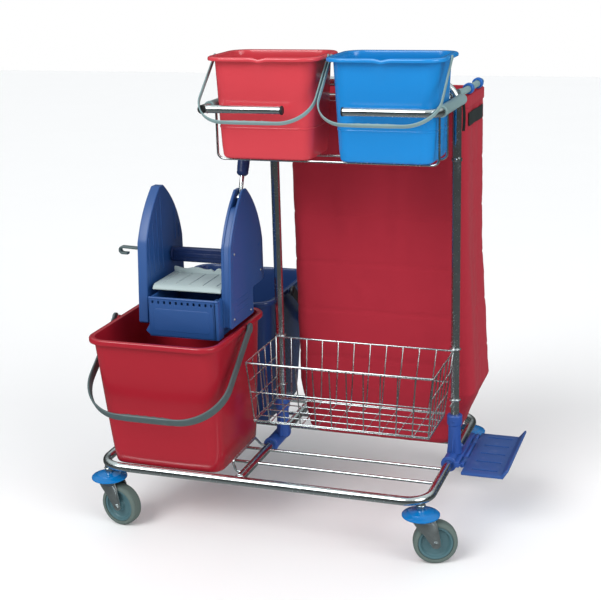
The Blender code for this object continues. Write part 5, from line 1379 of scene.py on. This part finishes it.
@dataclass
class Wringer:
    """The mop press: housings, strainer box, plate, bar, hook and lever."""

    shoulder_front: tuple[float, float] = (-0.190, 0.680)
    shoulder_back: float = 0.658
    crest: tuple[float, float] = (-0.101, -0.080)
    step: tuple[float, float] = (-0.062, 0.556)
    back: float = 0.012
    bulges: tuple[float, float] = (0.010, 0.016)
    wall: float = 0.004
    slots: int = 11
    slot_size: tuple[float, float] = (0.005, 0.007)
    panel_left: float = 0.018
    panel_top: float = 0.565
    panel_back: float = -0.068
    lever_lean: float = 22.0
    lever_radius: float = 0.005
    lever_boss: float = 0.012
    grip_start: float = 0.054
    grip_radius: float = 0.014
    lever_length: float = 0.124
    screw_places: tuple = ((-0.186, 0.512), (-0.082, 0.506), (-0.010, 0.585), (-0.172, 0.662))
    stud_places: tuple = ((-0.012, 0.648), (-0.098, 0.772))
    skin: float = 0.0066
    ridges: tuple = (
        (-0.176, 0.575, 0.690), (-0.152, 0.602, 0.722), (-0.128, 0.602, 0.752),
        (-0.104, 0.602, 0.772), (-0.028, 0.655, 0.735), (-0.008, 0.655, 0.690))

    def build(self) -> None:
        """Make every piece of the wringer."""
        self.right = Span.of("wringer_housing_right")
        self.left = Span.of("wringer_housing_left")
        self.shift = self.right.lo.y + 0.205
        self.housing_right()
        self.housing_left()
        self.strainer()
        self.press_plate()
        self.press_bar()
        self.hook()
        self.lever()

    def outline(self) -> list[tuple[float, float]]:
        """A housing's pointed arch as (y, z) points."""
        front, bottom, top = self.right.lo.y, self.right.lo.z, self.right.hi.z
        dy = self.shift
        step_y, step_z = self.step[0] + dy, self.step[1]
        back = self.back + dy
        points = [(front + 0.004, bottom), (step_y - 0.004, bottom), (step_y, bottom + 0.004),
                  (step_y, step_z - 0.008), (step_y + 0.003, step_z - 0.002), (step_y + 0.008, step_z),
                  (back - 0.014, step_z), (back - 0.004, step_z + 0.004), (back, step_z + 0.014)]
        points += self.bow((back, self.shoulder_back), (self.crest[1] + dy, top), self.bulges[1])
        points += self.bow((self.crest[0] + dy, top), (self.shoulder_front[0] + dy, self.shoulder_front[1]),
                           self.bulges[0])
        points.append((front, bottom + 0.004))
        return points

    @staticmethod
    def bow(start: tuple, end: tuple, bulge: float) -> list[tuple[float, float]]:
        """The points of a shallow arc that bows to the right of its chord."""
        first, last = Vector(start), Vector(end)
        chord = last - first
        side = Vector((chord.y, -chord.x)).normalized()
        points = []
        for k in range(15):
            share = k / 14
            point = first + chord * share + side * bulge * 4 * share * (1 - share)
            points.append((point.x, point.y))
        return points

    def housing_right(self) -> None:
        """Outer and inner skins with the lever's slot between them, screws and grip ribs."""
        span = self.right
        outline = self.outline()
        form = Form()
        form.slab(outline, self.skin, across(span.hi.x - self.skin / 2), 0.0022, 4)
        form.slab(outline, self.skin, across(span.lo.x + self.skin / 2), 0.0016, 3)
        pivot = Vector(JOINTS["lever_swing"]["pos_m"])
        cut = pivot.z - self.lever_boss - 0.0010
        core = [(y, min(z, cut)) for y, z in self.inset(outline, 0.0018)]
        core = [point for i, point in enumerate(core) if point != core[i - 1]]
        form.slab(core, span.size.x - 2 * self.skin + 0.002, across(span.mid.x), 0.0)
        face = span.hi.x
        for y, z in self.screw_places + self.stud_places:
            seat = facing(X_AXIS, Vector((face - 0.0002, y + self.shift, z)))
            form.turned([(0.0, -0.001), (0.0052, -0.001), (0.0052, 0.0003), (0.0040, 0.0006), (0.0, 0.0006)],
                        seat, 24)
        for k in range(3):
            z = 0.522 + 0.014 * k
            form.block(Vector((face - 0.001, -0.168 + self.shift, z)),
                       Vector((face + 0.0008, -0.098 + self.shift, z + 0.003)), 0.0008, 2)
        crease = [Vector((face - 0.0008, y + 0.011, z)) for y, z in outline[-16:]]
        form.tube(divided(crease, 0.02), 0.0015, 10)
        form.piece("wringer_side_right", WRINGER_BLUE, "wringer", ["wringer_housing_right"], "wringer_blue")
        self.screws(face)

    def inset(self, outline: list[tuple[float, float]], amount: float) -> list[tuple[float, float]]:
        """An outline pulled a little towards its middle."""
        y0 = sum(y for y, _ in outline) / len(outline)
        z0 = sum(z for _, z in outline) / len(outline)
        return [(y - math.copysign(min(amount, abs(y - y0)), y - y0),
                 z - math.copysign(min(amount, abs(z - z0)), z - z0)) for y, z in outline]

    def screws(self, face: float) -> None:
        """Bright screw heads in the right housing."""
        form = Form()
        for y, z in self.screw_places:
            seat = facing(X_AXIS, Vector((face + 0.0005, y + self.shift, z)))
            form.turned(screw_profile(0.0030), seat, 20)
        form.piece("wringer_screws", ZINC, "wringer", (), "zinc")

    def housing_left(self) -> None:
        """A thick side with soft upright ridges on its inner face."""
        span = self.left
        form = Form().slab(self.outline(), span.size.x, across(span.mid.x), 0.0030, 5)
        for y, low, high in self.ridges:
            form.block(Vector((span.hi.x - 0.002, y + self.shift - 0.004, low)),
                       Vector((span.hi.x + 0.0016, y + self.shift + 0.004, high)), 0.0015, 3)
        form.piece("wringer_side_left", WRINGER_BLUE, "wringer", ["wringer_housing_left"], "wringer_blue")

    def strainer(self) -> None:
        """The box under the press: slotted front, raised panel, lip, wings and hangers."""
        span = Span.of("strainer_box")
        left = span.lo.x + self.panel_left - RUNNING_GAP
        right = self.right.lo.x - RUNNING_GAP
        front, bottom, top = span.lo.y, span.lo.z, self.panel_top
        back = self.panel_back + self.shift
        wall = self.wall
        width = right - left
        columns = [left + 0.0006]
        for k in range(self.slots):
            x = left + width * (k + 0.7) / (self.slots + 0.4)
            columns += [x - self.slot_size[0] / 2, x + self.slot_size[0] / 2]
        columns.append(right)
        rows = [bottom, top - 0.006 - self.slot_size[1], top - 0.006, top]
        view = Matrix.Translation((0.0, front + wall / 2, 0.0)) @ UPRIGHT
        form = Form().pierced(columns, rows, lambda i, j: j == 1 and i % 2 == 1, wall, view, 0.0010)
        form.block(Vector((left, front, bottom)), Vector((left + wall, back, top)), 0.0012)
        form.block(Vector((right - wall, front, bottom)), Vector((right, back, top)), 0.0012)
        form.block(Vector((left, back - wall, bottom)), Vector((right, back, top)), 0.0012)
        form.block(Vector((left, front, bottom)), Vector((right, back, bottom + wall)), 0.0012)
        form.rod(Vector((left, front + 0.0022, top)), Vector((span.hi.x, front + 0.0022, top)), 0.0032, 0.002)
        panel = ring_of(width - 0.030, top - bottom - 0.038, 0.007, 8, 1)
        middle = Vector(((left + right) / 2 - 0.002, front + 0.0006, (top + bottom) / 2 - 0.005))
        flat = Matrix.Translation(middle) @ UPRIGHT
        form.slab(panel, 0.0026, flat, 0.0011, 4)
        form.block(Vector((right - 0.010, front, bottom)),
                   Vector((span.hi.x, self.right.lo.y - RUNNING_GAP, top)), 0.0020)
        form.block(Vector((span.lo.x, -0.195 + self.shift, bottom + 0.020)),
                   Vector((left + 0.010, -0.082 + self.shift, bottom + 0.030)), 0.0015)
        foot = [(left + 0.001, bottom + 0.002), (left - 0.010, bottom + 0.012),
                (left + 0.001, bottom + 0.030)]
        form.slab(foot, wall, Matrix.Translation((0.0, front + wall / 2, 0.0)) @ UPRIGHT, 0.0012)
        rim = Span.of("front_bucket")
        for x in (left + 0.020, right - 0.020):
            form.block(Vector((x - 0.009, back - 0.002, rim.hi.z + 0.0003)),
                       Vector((x + 0.009, rim.hi.y, rim.hi.z + 0.0053)), 0.0012)
        form.piece("wringer_strainer", WRINGER_BLUE, "wringer", ["strainer_box"], "wringer_blue")

    def press_plate(self) -> None:
        """The pale plate with a sloping front edge and a wavy wall behind it."""
        span = Span.of("press_plate")
        thick = 0.013
        low, top = span.lo.z, span.lo.z + thick
        profile = [(span.lo.y, low + 0.001), (span.hi.y, low), (span.hi.y, top), (span.lo.y + 0.012, top),
                   (span.lo.y + 0.004, top - 0.004), (span.lo.y, low + 0.004)]
        form = Form().slab(profile, span.size.x, across(span.mid.x), 0.0014)
        waves = []
        count = 44
        for k in range(count + 1):
            share = k / count
            dip = 0.0045 * (0.5 - 0.5 * math.cos(math.tau * 3 * share))
            notch = 0.008 * max(0.0, 1 - abs(share - 0.62) / 0.05)
            waves.append((span.lo.x + 0.002 + share * (span.size.x - 0.004), span.hi.z - dip - notch))
        wall = [(span.lo.x + 0.002, low + 0.003), (span.hi.x - 0.002, low + 0.003)] + waves[::-1]
        view = Matrix.Translation((0.0, span.hi.y - 0.0045, 0.0)) @ UPRIGHT
        form.slab(wall, 0.0075, view, 0.0016)
        for k in range(5):
            x = span.lo.x + span.size.x * (k + 0.5) / 5
            form.rod(Vector((x, span.lo.y + 0.016, top)), Vector((x, span.hi.y - 0.014, top)),
                     0.0016, 0.002, 12)
        form.piece("wringer_press_plate", PRESS_GREY, "wringer", ["press_plate"], "plate_grey")

    def press_bar(self) -> None:
        """The dark bar that the lever drives, with its round flange and ribs."""
        span = Span.of("press_bar")
        deep, tall, middle = 0.018, 0.034, span.mid
        form = Form().block(Vector((span.lo.x, middle.y - deep / 2, middle.z - tall / 2)),
                            Vector((span.hi.x, middle.y + deep / 2, middle.z + tall / 2)), 0.0035, 4)
        reach = span.size.z / 2
        disc = [(0.0, 0.0), (reach - 0.001, 0.0), (reach, 0.001), (reach, 0.004), (reach - 0.0015, 0.0055),
                (0.010, 0.0065), (0.0, 0.0065)]
        form.turned(disc, facing(X_AXIS, Vector((span.lo.x + 0.0006, middle.y, middle.z))), 48)
        form.block(Vector((span.lo.x + 0.012, middle.y - deep / 2 - 0.0010, middle.z - 0.0055)),
                   Vector((span.hi.x - 0.010, middle.y - deep / 2 + 0.002, middle.z + 0.0055)), 0.0012, 3)
        form.piece("wringer_press_bar", NAVY, "press_bar_body", ["press_bar"], "navy")

    def hook(self) -> None:
        """The C-shaped catch on the outside of the left housing."""
        span = Span.of("wringer_hook")
        y, low, high = span.mid.y, span.lo.z + 0.003, span.hi.z - 0.003
        corners = [Vector((span.hi.x, y, high - 0.003)), Vector((span.lo.x + 0.004, y, high - 0.001)),
                   Vector((span.lo.x + 0.004, y, low)), Vector((span.lo.x + 0.024, y, low))]
        form = Form().band(divided(bent(corners, 0.008, steps=10), 0.006), Y_AXIS, 0.0056, 0.014)
        form.turned([(0.0, -0.003), (0.0105, -0.003), (0.0105, -0.001), (0.0080, 0.0), (0.0, 0.0)],
                    facing(X_AXIS, Vector((span.hi.x, y, high - 0.003))), 32)
        form.piece("wringer_catch", BAIL_GREY, "wringer", ["wringer_hook"], "bail_grey")

    def lever(self) -> None:
        """The steel lever in its slot and the tapered grip on it."""
        pivot = Vector(JOINTS["lever_swing"]["pos_m"])
        lean = math.radians(self.lever_lean)
        away = Vector((0.0, math.sin(lean), math.cos(lean)))
        form = Form().rod(pivot, pivot + away * (self.grip_start + 0.018), self.lever_radius, 0.001)
        half = 0.0054
        boss = [(0.0, -half), (self.lever_boss - 0.0008, -half), (self.lever_boss, -half + 0.0008),
                (self.lever_boss, half - 0.0008), (self.lever_boss - 0.0008, half), (0.0, half)]
        form.turned(boss, facing(X_AXIS, pivot), 48)
        form.piece("wringer_lever_rod", CHROME, "lever", ["wringer_lever"], "steel")
        length = self.lever_length - self.grip_start
        fat = self.grip_radius
        shape = [(0.0, 0.62), (0.02, 0.70), (0.05, 0.90), (0.10, 0.985), (0.14, 0.93), (0.18, 0.965),
                 (0.40, 1.0), (0.70, 0.975), (0.88, 0.945), (0.95, 0.86), (0.985, 0.66), (1.0, 0.35)]
        start = pivot + away * self.grip_start
        path = [start + away * length * share for share, _ in shape]
        form = Form().tube(path, [fat * size for _, size in shape], 40)
        for share in (0.30, 0.42, 0.54, 0.66, 0.78):
            form.turned(bead_profile(fat * 0.985, 0.0006), facing(away, start + away * length * share), 40)
        form.piece("wringer_lever_grip", NAVY, "lever", ["lever_grip"], "navy")


# -------------------------------------------------------------------- bag


@dataclass
class LaundryBag:
    """The coated cloth bag, the arm it hangs from, its clips and its straps."""

    arm: float = 0.0075
    foot_inset: float = 0.030
    foot_front: float = 0.0175
    corner: float = 0.035
    bulge: float = 0.018
    bulge_height: float = 0.290
    cloth: float = 0.0011
    columns: int = 34
    rows: int = 150
    hem_allowance: float = 0.20
    creases: tuple[float, ...] = (0.245, 0.363, 0.481, 0.599, 0.717, 0.835, 0.925)
    crease_width: float = 0.0030

    def build(self) -> None:
        """Make the bag, the hem's piping, the arm, the clips and the straps."""
        self.span = Span.of("laundry_bag")
        self.arm_span = Span.of("bag_arm")
        bag = self.shell()
        self.hanger()
        self.clips()
        self.straps()
        size, tall = self.mouth(), self.span.size.z
        girth = 2 * (size[0] + size[1])
        area = girth * tall * 0.985 + (size[0] - 2 * self.foot_inset) * (size[1] - 0.03)

    def mouth(self) -> tuple[float, float]:
        """The length and depth of the bag's open top."""
        return self.span.size.x - 0.026, self.span.size.y

    def section(self, height: float) -> tuple[float, float, float, float, float]:
        """Length, depth, middle x, middle y and corner at a height above the floor."""
        length, depth = self.mouth()
        left, front = self.span.lo.x, self.span.lo.y
        middle, deep = left + length / 2, front + depth / 2
        foot_depth = depth - 0.020 - self.foot_front
        foot_y = front + self.foot_front + foot_depth / 2
        low = self.span.lo.z
        marks = [
            (low, length - 2 * self.foot_inset, foot_depth, middle, foot_y),
            (low + 0.05, length - self.foot_inset, foot_depth + 0.004, middle + 0.003, foot_y + 0.002),
            (self.bulge_height, length + self.bulge, depth - 0.002, middle + 0.017, deep),
            (0.65, length + 0.004, depth, middle + 0.004, deep),
            (self.span.hi.z, length, depth, middle, deep)]
        for lower, upper in zip(marks, marks[1:]):
            if height <= upper[0]:
                share = (height - lower[0]) / (upper[0] - lower[0])
                share = max(0.0, min(1.0, share))
                mixed = [a + (b - a) * share for a, b in zip(lower[1:], upper[1:])]
                return (*mixed, self.corner)
        return (*marks[-1][1:], self.corner)

    def shell(self) -> bpy.types.Object:
        """Loft the cloth from the middle of the floor up to the hem and let it fold."""
        low, tall = self.span.lo.z, self.span.size.z
        rings, chart = [], []
        for inset in (0.070, 0.030, 0.012):
            rings.append(self.level(low + 0.0012, inset, 0.0))
            chart.append(-inset)
        for k in range(self.rows + 1):
            height = low + 0.0012 + (tall - 0.0012) * k / self.rows
            tuck = 0.006 * max(0.0, 1 - (height - low) / 0.012)
            rings.append(self.level(height, tuck, 1.0))
            chart.append(height - low)
        size = self.mouth()
        form = Form().loft(rings, caps=False, chart=(2 * (size[0] + size[1]), chart))
        rim = [edge for edge in form.bm.edges if edge.is_boundary and edge.verts[0].co.z < low + 0.01]
        bmesh.ops.edgeloop_fill(form.bm, edges=rim)
        bag = form.piece(
            "laundry_bag_cloth", BAG_RED, "frame", ["laundry_bag"], "bag_red", math.radians(80))
        wall = bag.modifiers.new("cloth", "SOLIDIFY")
        wall.thickness = self.cloth
        wall.offset = -1.0
        return bag

    def level(self, height: float, inset: float, folding: float) -> list[Vector]:
        """One ring of the bag, with its folds."""
        length, depth, middle, deep, corner = self.section(height)
        points = []
        for point in ring_of(length - 2 * inset, depth - 2 * inset, corner, 10, self.columns):
            place = Vector((middle + point.x, deep + point.y, height))
            outward = Vector((point.x / length ** 2, point.y / depth ** 2, 0.0)).normalized()
            points.append(place + outward * self.fold(place, point, length, depth) * folding)
        return points

    def fold(self, place: Vector, point: Vector, length: float, depth: float) -> float:
        """How far the cloth stands in (negative) or out (positive) of the plain section."""
        share = (place.z - self.span.lo.z) / self.span.size.z
        flat_x = max(0.0, 1 - (2 * point.x / length) ** 2)
        flat_y = max(0.0, 1 - (2 * point.y / depth) ** 2)
        panel = flat_x if abs(point.y) > 0.46 * depth else flat_y
        slack = -0.007 * panel * math.sin(math.pi * min(1.0, share * 1.02))
        drape = noise.noise(Vector((place.x * 11, place.y * 11, place.z * 2.3)))
        pull = noise.noise(Vector((place.x * 30 + 7, place.y * 30, place.z * 4.5 - place.x * 9)))
        rumple = noise.fractal(Vector((place.x * 24, place.y * 24 + 3, place.z * 19)), 0.9, 2.0, 4)
        crease = -0.0016 * sum(
            math.exp(-((place.z - line + 0.004 * drape) / self.crease_width) ** 2)
            for line in self.creases)
        gather = 0.35 + 0.65 * share ** 2
        total = 0.0042 * drape * gather + 0.0026 * pull * gather + 0.0016 * rumple + slack + crease * 1.2
        near_top = min(1.0, (self.span.hi.z - place.z) / 0.05)
        total *= 0.30 + 0.70 * near_top
        return min(total - 0.0016, 0.0030)

    def hanger(self) -> None:
        """The arm with its sleeve, and the cloth's hem lapped over it."""
        span = self.arm_span
        level = span.mid.z
        x_far = span.hi.x - self.arm
        x_near, y_near = span.lo.x, span.lo.y + self.arm
        corners = [Vector((x_near, y_near, level)), Vector((x_far, y_near + 0.022, level)),
                   Vector((x_far, span.hi.y, level))]
        path = divided(bent(corners, 0.02, steps=8), 0.02)
        form = Form().tube(path, self.arm, 24)
        form.piece("bag_hanger_arm", SOFT_GREY, "frame", ["bag_arm"], "soft_grey")
        hem = Form()
        length, depth, middle, deep, corner = self.section(self.span.hi.z)
        top = self.span.hi.z
        lines = []
        for lift, inset in ((-0.026, -0.0006), (-0.024, -0.0016), (-0.002, -0.0016), (0.0004, 0.0),
                            (-0.002, 0.0024), (-0.024, 0.0024)):
            lines.append([self.hem_point(p, middle, deep, top + lift) for p in ring_of(
                length - 2 * inset, depth - 2 * inset, corner, 10, self.columns)])
        hem.loft(lines, closed=True)
        piece = hem.piece("laundry_bag_hem", BAG_RED, "frame", (), "bag_red", math.radians(70))
        self.chart(piece)

    def hem_point(self, point: Vector, middle: float, deep: float, height: float) -> Vector:
        """A point of the hem, sagging a little between its hangers."""
        sag = 0.006 * math.sin(math.pi * min(1.0, abs(point.x) / 0.2)) * (1 if point.y > 0 else 0.6)
        ripple = 0.0012 * noise.noise(Vector((point.x * 40, point.y * 40, 1.0)))
        return Vector((middle + point.x + ripple, deep + point.y + ripple, height - sag))

    @staticmethod
    def chart(piece: bpy.types.Object) -> None:
        """Give a hem a simple UV map in metres."""
        layer = piece.data.uv_layers.new(name="cloth")
        for loop in piece.data.loops:
            place = piece.data.vertices[loop.vertex_index].co
            layer.data[loop.index].uv = (place.x + place.y, place.z)

    def clips(self) -> None:
        """Blue rings that pinch the hem on the arm."""
        for number in (1, 2):
            name = f"bag_clip_{number}"
            span = Span.of(name)
            half, outer, bore = span.size.y / 2, span.size.x / 2, self.arm + 0.0004
            profile = [(bore, -half), (outer - 0.0012, -half), (outer, -half + 0.0012),
                       (outer - 0.0006, 0.0), (outer, half - 0.0012), (outer - 0.0012, half), (bore, half)]
            Form().turned(profile, facing(Y_AXIS, span.mid), 40).piece(
                name + "_ring", CLIP_BLUE, "frame", [name], "bumper_blue")

    def straps(self) -> None:
        """The webbing band on the right side and the loose ends that hang from the hem."""
        span = Span.of("bag_strap")
        form = Form()
        rings = []
        for k in range(33):
            share = k / 32
            y = span.lo.y + span.size.y * share
            wave = 0.0012 * math.sin(9 * share) - 0.0008
            x, half = span.mid.x + wave, span.size.z / 2
            rings.append([Vector((x + a * 0.0008, y, span.mid.z + b * half + 0.001 * math.sin(7 * share)))
                          for a, b in ((-1, -1), (1, -1), (1, 1), (-1, 1))])
        form.loft(rings)
        form.piece("bag_band", STRAP_BLACK, "frame", ["bag_strap"], "strap_black")
        self.tail("bag_tail_right", Vector((self.span.mid.x + 0.196, self.span.lo.y - 0.0014, 0.986)), 0.062)
        self.tail("bag_tail_left", Vector((self.span.mid.x - 0.085, self.span.lo.y - 0.0014, 0.940)), 0.050)

    def tail(self, name: str, top: Vector, length: float) -> None:
        """A narrow strap end that hangs down in front of the cloth."""
        rings = []
        for k in range(13):
            share = k / 12
            centre = top - Z_AXIS * length * share + X_AXIS * 0.0022 * math.sin(3.0 * share)
            centre.y -= 0.0012 * math.sin(math.pi * share)
            rings.append([centre + Vector((a * 0.0032, b * 0.0006, 0.0))
                          for a, b in ((-1, -1), (1, -1), (1, 1), (-1, 1))])
        Form().loft(rings).piece(name, STRAP_BLACK, "frame", (), "strap_black")


# ----------------------------------------------------------------- studio


@dataclass
class Studio:
    """The pale floor, the soft lights, the surroundings and the camera."""

    lens: float = 77.06
    eye: tuple[float, float, float] = (0.9480, -2.8160, 1.3757)
    yaw: float = 0.339
    pitch: float = 0.2836
    roll: float = -0.0274
    room: float = 0.70
    bands: tuple = ((0.0, 0.30), (0.30, 0.12), (0.46, 0.05), (0.56, 0.04), (0.66, 0.10), (0.80, 0.75),
                    (1.0, 0.9))

    def build(self) -> None:
        """Set up everything round the cart."""
        self.floor()
        self.surroundings()
        self.sun("key_light", (-1.2, -2.6, 2.6), 1.5, 34.0)
        self.sun("side_light", (2.6, -1.2, 1.4), 1.0, 40.0)
        self.lamp("soft_box", (-1.5, -2.8, 2.6), (0.0, 0.0, 0.6), 1.4, 16.0)
        self.lamp("strip_box", (2.6, -1.0, 1.9), (0.0, 0.0, 0.6), 0.9, 7.0)
        self.camera()
        bpy.context.scene.view_settings.view_transform = "Standard"

    def floor(self) -> None:
        """A wide plain floor."""
        bm = bmesh.new()
        bmesh.ops.create_grid(bm, x_segments=8, y_segments=8, size=9.0)
        data = bpy.data.meshes.new("studio_floor")
        bm.to_mesh(data)
        bm.free()
        floor = bpy.data.objects.new("studio_floor", data)
        data.materials.append(FLOOR.material())
        bpy.context.scene.collection.objects.link(floor)
        floor.visible_glossy = False

    def surroundings(self) -> None:
        """A pale room with darker bands, so that plated metal has something to mirror."""
        world = bpy.data.worlds.new("studio_room")
        bpy.context.scene.world = world
        world.use_nodes = True
        desk = Desk(world.node_tree)
        direction = desk.node("ShaderNodeTexCoord", {}, {}, "Generated")
        height = desk.node("ShaderNodeSeparateXYZ", {}, {0: direction}, "Z")
        level = desk.node("ShaderNodeMapRange", {}, {"Value": height, "From Min": -1.0})
        stops = [(place, (grey * 0.94, grey, grey)) for place, grey in self.bands]
        bands = desk.node("ShaderNodeValToRGB", {"stops": stops}, {0: level})
        mirror = desk.node("ShaderNodeBackground", {}, {"Color": bands})
        room = desk.node(
            "ShaderNodeBackground", {}, {"Color": (0.96, 0.98, 1.0), "Strength": self.room})
        plain = desk.node("ShaderNodeBackground", {}, {"Color": (1.0, 1.0, 1.0)})
        glossy = desk.node("ShaderNodeLightPath", {}, {}, "Is Glossy Ray")
        seen = desk.node("ShaderNodeLightPath", {}, {}, "Is Camera Ray")
        lit = desk.node("ShaderNodeMixShader", {}, {0: glossy, 1: room, 2: mirror})
        view = desk.node("ShaderNodeMixShader", {}, {0: seen, 1: lit, 2: plain})
        desk.node("ShaderNodeOutputWorld", {}, {0: view})

    def sun(self, name: str, source: tuple, power: float, spread: float) -> None:
        """An even light from one side, softened by its spread in degrees."""
        data = bpy.data.lights.new(name, "SUN")
        data.energy = power
        data.angle = math.radians(spread)
        lamp = bpy.data.objects.new(name, data)
        lamp.matrix_world = facing(Vector(source), Vector(source))
        bpy.context.scene.collection.objects.link(lamp)

    def lamp(self, name: str, place: tuple, target: tuple, size: float, power: float) -> None:
        """A large square lamp aimed at a point."""
        data = bpy.data.lights.new(name, "AREA")
        data.shape = "SQUARE"
        data.size = size
        data.energy = power
        lamp = bpy.data.objects.new(name, data)
        aim = Vector(target) - Vector(place)
        lamp.matrix_world = facing(-aim, Vector(place))
        bpy.context.scene.collection.objects.link(lamp)

    def camera(self) -> None:
        """The camera at the cart's front right, a little above its top."""
        data = bpy.data.cameras.new("studio_camera")
        data.lens = self.lens
        data.sensor_width = 36.0
        data.clip_end = 60.0
        camera = bpy.data.objects.new("studio_camera", data)
        turn, tip = self.yaw, self.pitch
        look = Vector((-math.sin(turn) * math.cos(tip), math.cos(turn) * math.cos(tip), -math.sin(tip)))
        right = Vector((math.cos(turn), math.sin(turn), 0.0))
        up = right.cross(look)
        level = right * math.cos(self.roll) + up * math.sin(self.roll)
        upright = up * math.cos(self.roll) - right * math.sin(self.roll)
        matrix = Matrix((level, upright, -look)).transposed().to_4x4()
        matrix.translation = Vector(self.eye)
        camera.matrix_world = matrix
        bpy.context.scene.collection.objects.link(camera)
        bpy.context.scene.camera = camera


# ------------------------------------------------------------------- main


def mop_bucket(side: Side) -> list:
    """A mop bucket and its bail.

    Args:
        side: Which of the two buckets.

    Returns:
        The two builders in order.
    """
    front = side is Side.FRONT
    name = "front" if front else "rear"
    finish, slot = (BUCKET_RED, "bucket_red") if front else (BUCKET_BLUE, "bucket_blue")
    bail_finish, bail_slot = (BAIL_GREY, "bail_grey") if front else (BAIL_BLACK, "navy")
    lean = 0.0185 if front else -0.0185
    tub = MopBucket(
        name + "_bucket", name + "_bucket_body", slot, finish, (0.276, 0.257), lean, 0.0035,
        (0.009, 0.013), 0.042, crown=0.004)
    bail = Bail(
        name + "_bail", name + "_bail_swing", name + "_bail_body", bail_slot, bail_finish, side, 37.1,
        0.2716, 0.105, 0.005, 0.024, 0.105, 5)
    return [tub, bail]


def small_pail(colour: str, finish: Finish) -> list:
    """A pail and its bail.

    Args:
        colour: The colour in the frame's names.
        finish: What the pail is made of.

    Returns:
        The two builders in order.
    """
    node = colour + "_pail"
    tub = Pail(
        node, node + "_body", "pail_" + colour, finish, (0.206, 0.150), 0.0, 0.0025, (0.013, 0.009), 0.035,
        crown=0.0015, spout=0.010)
    bail = Bail(
        node + "_bail", colour + "_bail_swing", node + "_bail_body", "soft_grey", SOFT_GREY, Side.FRONT,
        40.5, 0.190, 0.070, 0.003, 0.010, 0.080, 4)
    return [tub, bail]


def main() -> None:
    """Build the cart piece by piece."""
    logging.basicConfig(level=logging.INFO, format="%(message)s")
    builders: list = [BaseFrame()]
    builders += [Castor(corner) for corner in Corner]
    builders += [Uprights(), FootPlate()]
    builders += mop_bucket(Side.FRONT) + mop_bucket(Side.REAR)
    builders += small_pail("red", PAIL_RED) + small_pail("blue", PAIL_BLUE)
    builders += [Tray(), Basket(), Wringer(), LaundryBag(), Studio()]
    for builder in builders:
        LOG.info("building %s", type(builder).__name__)
        builder.build()


if __name__ == "__main__":
    main()
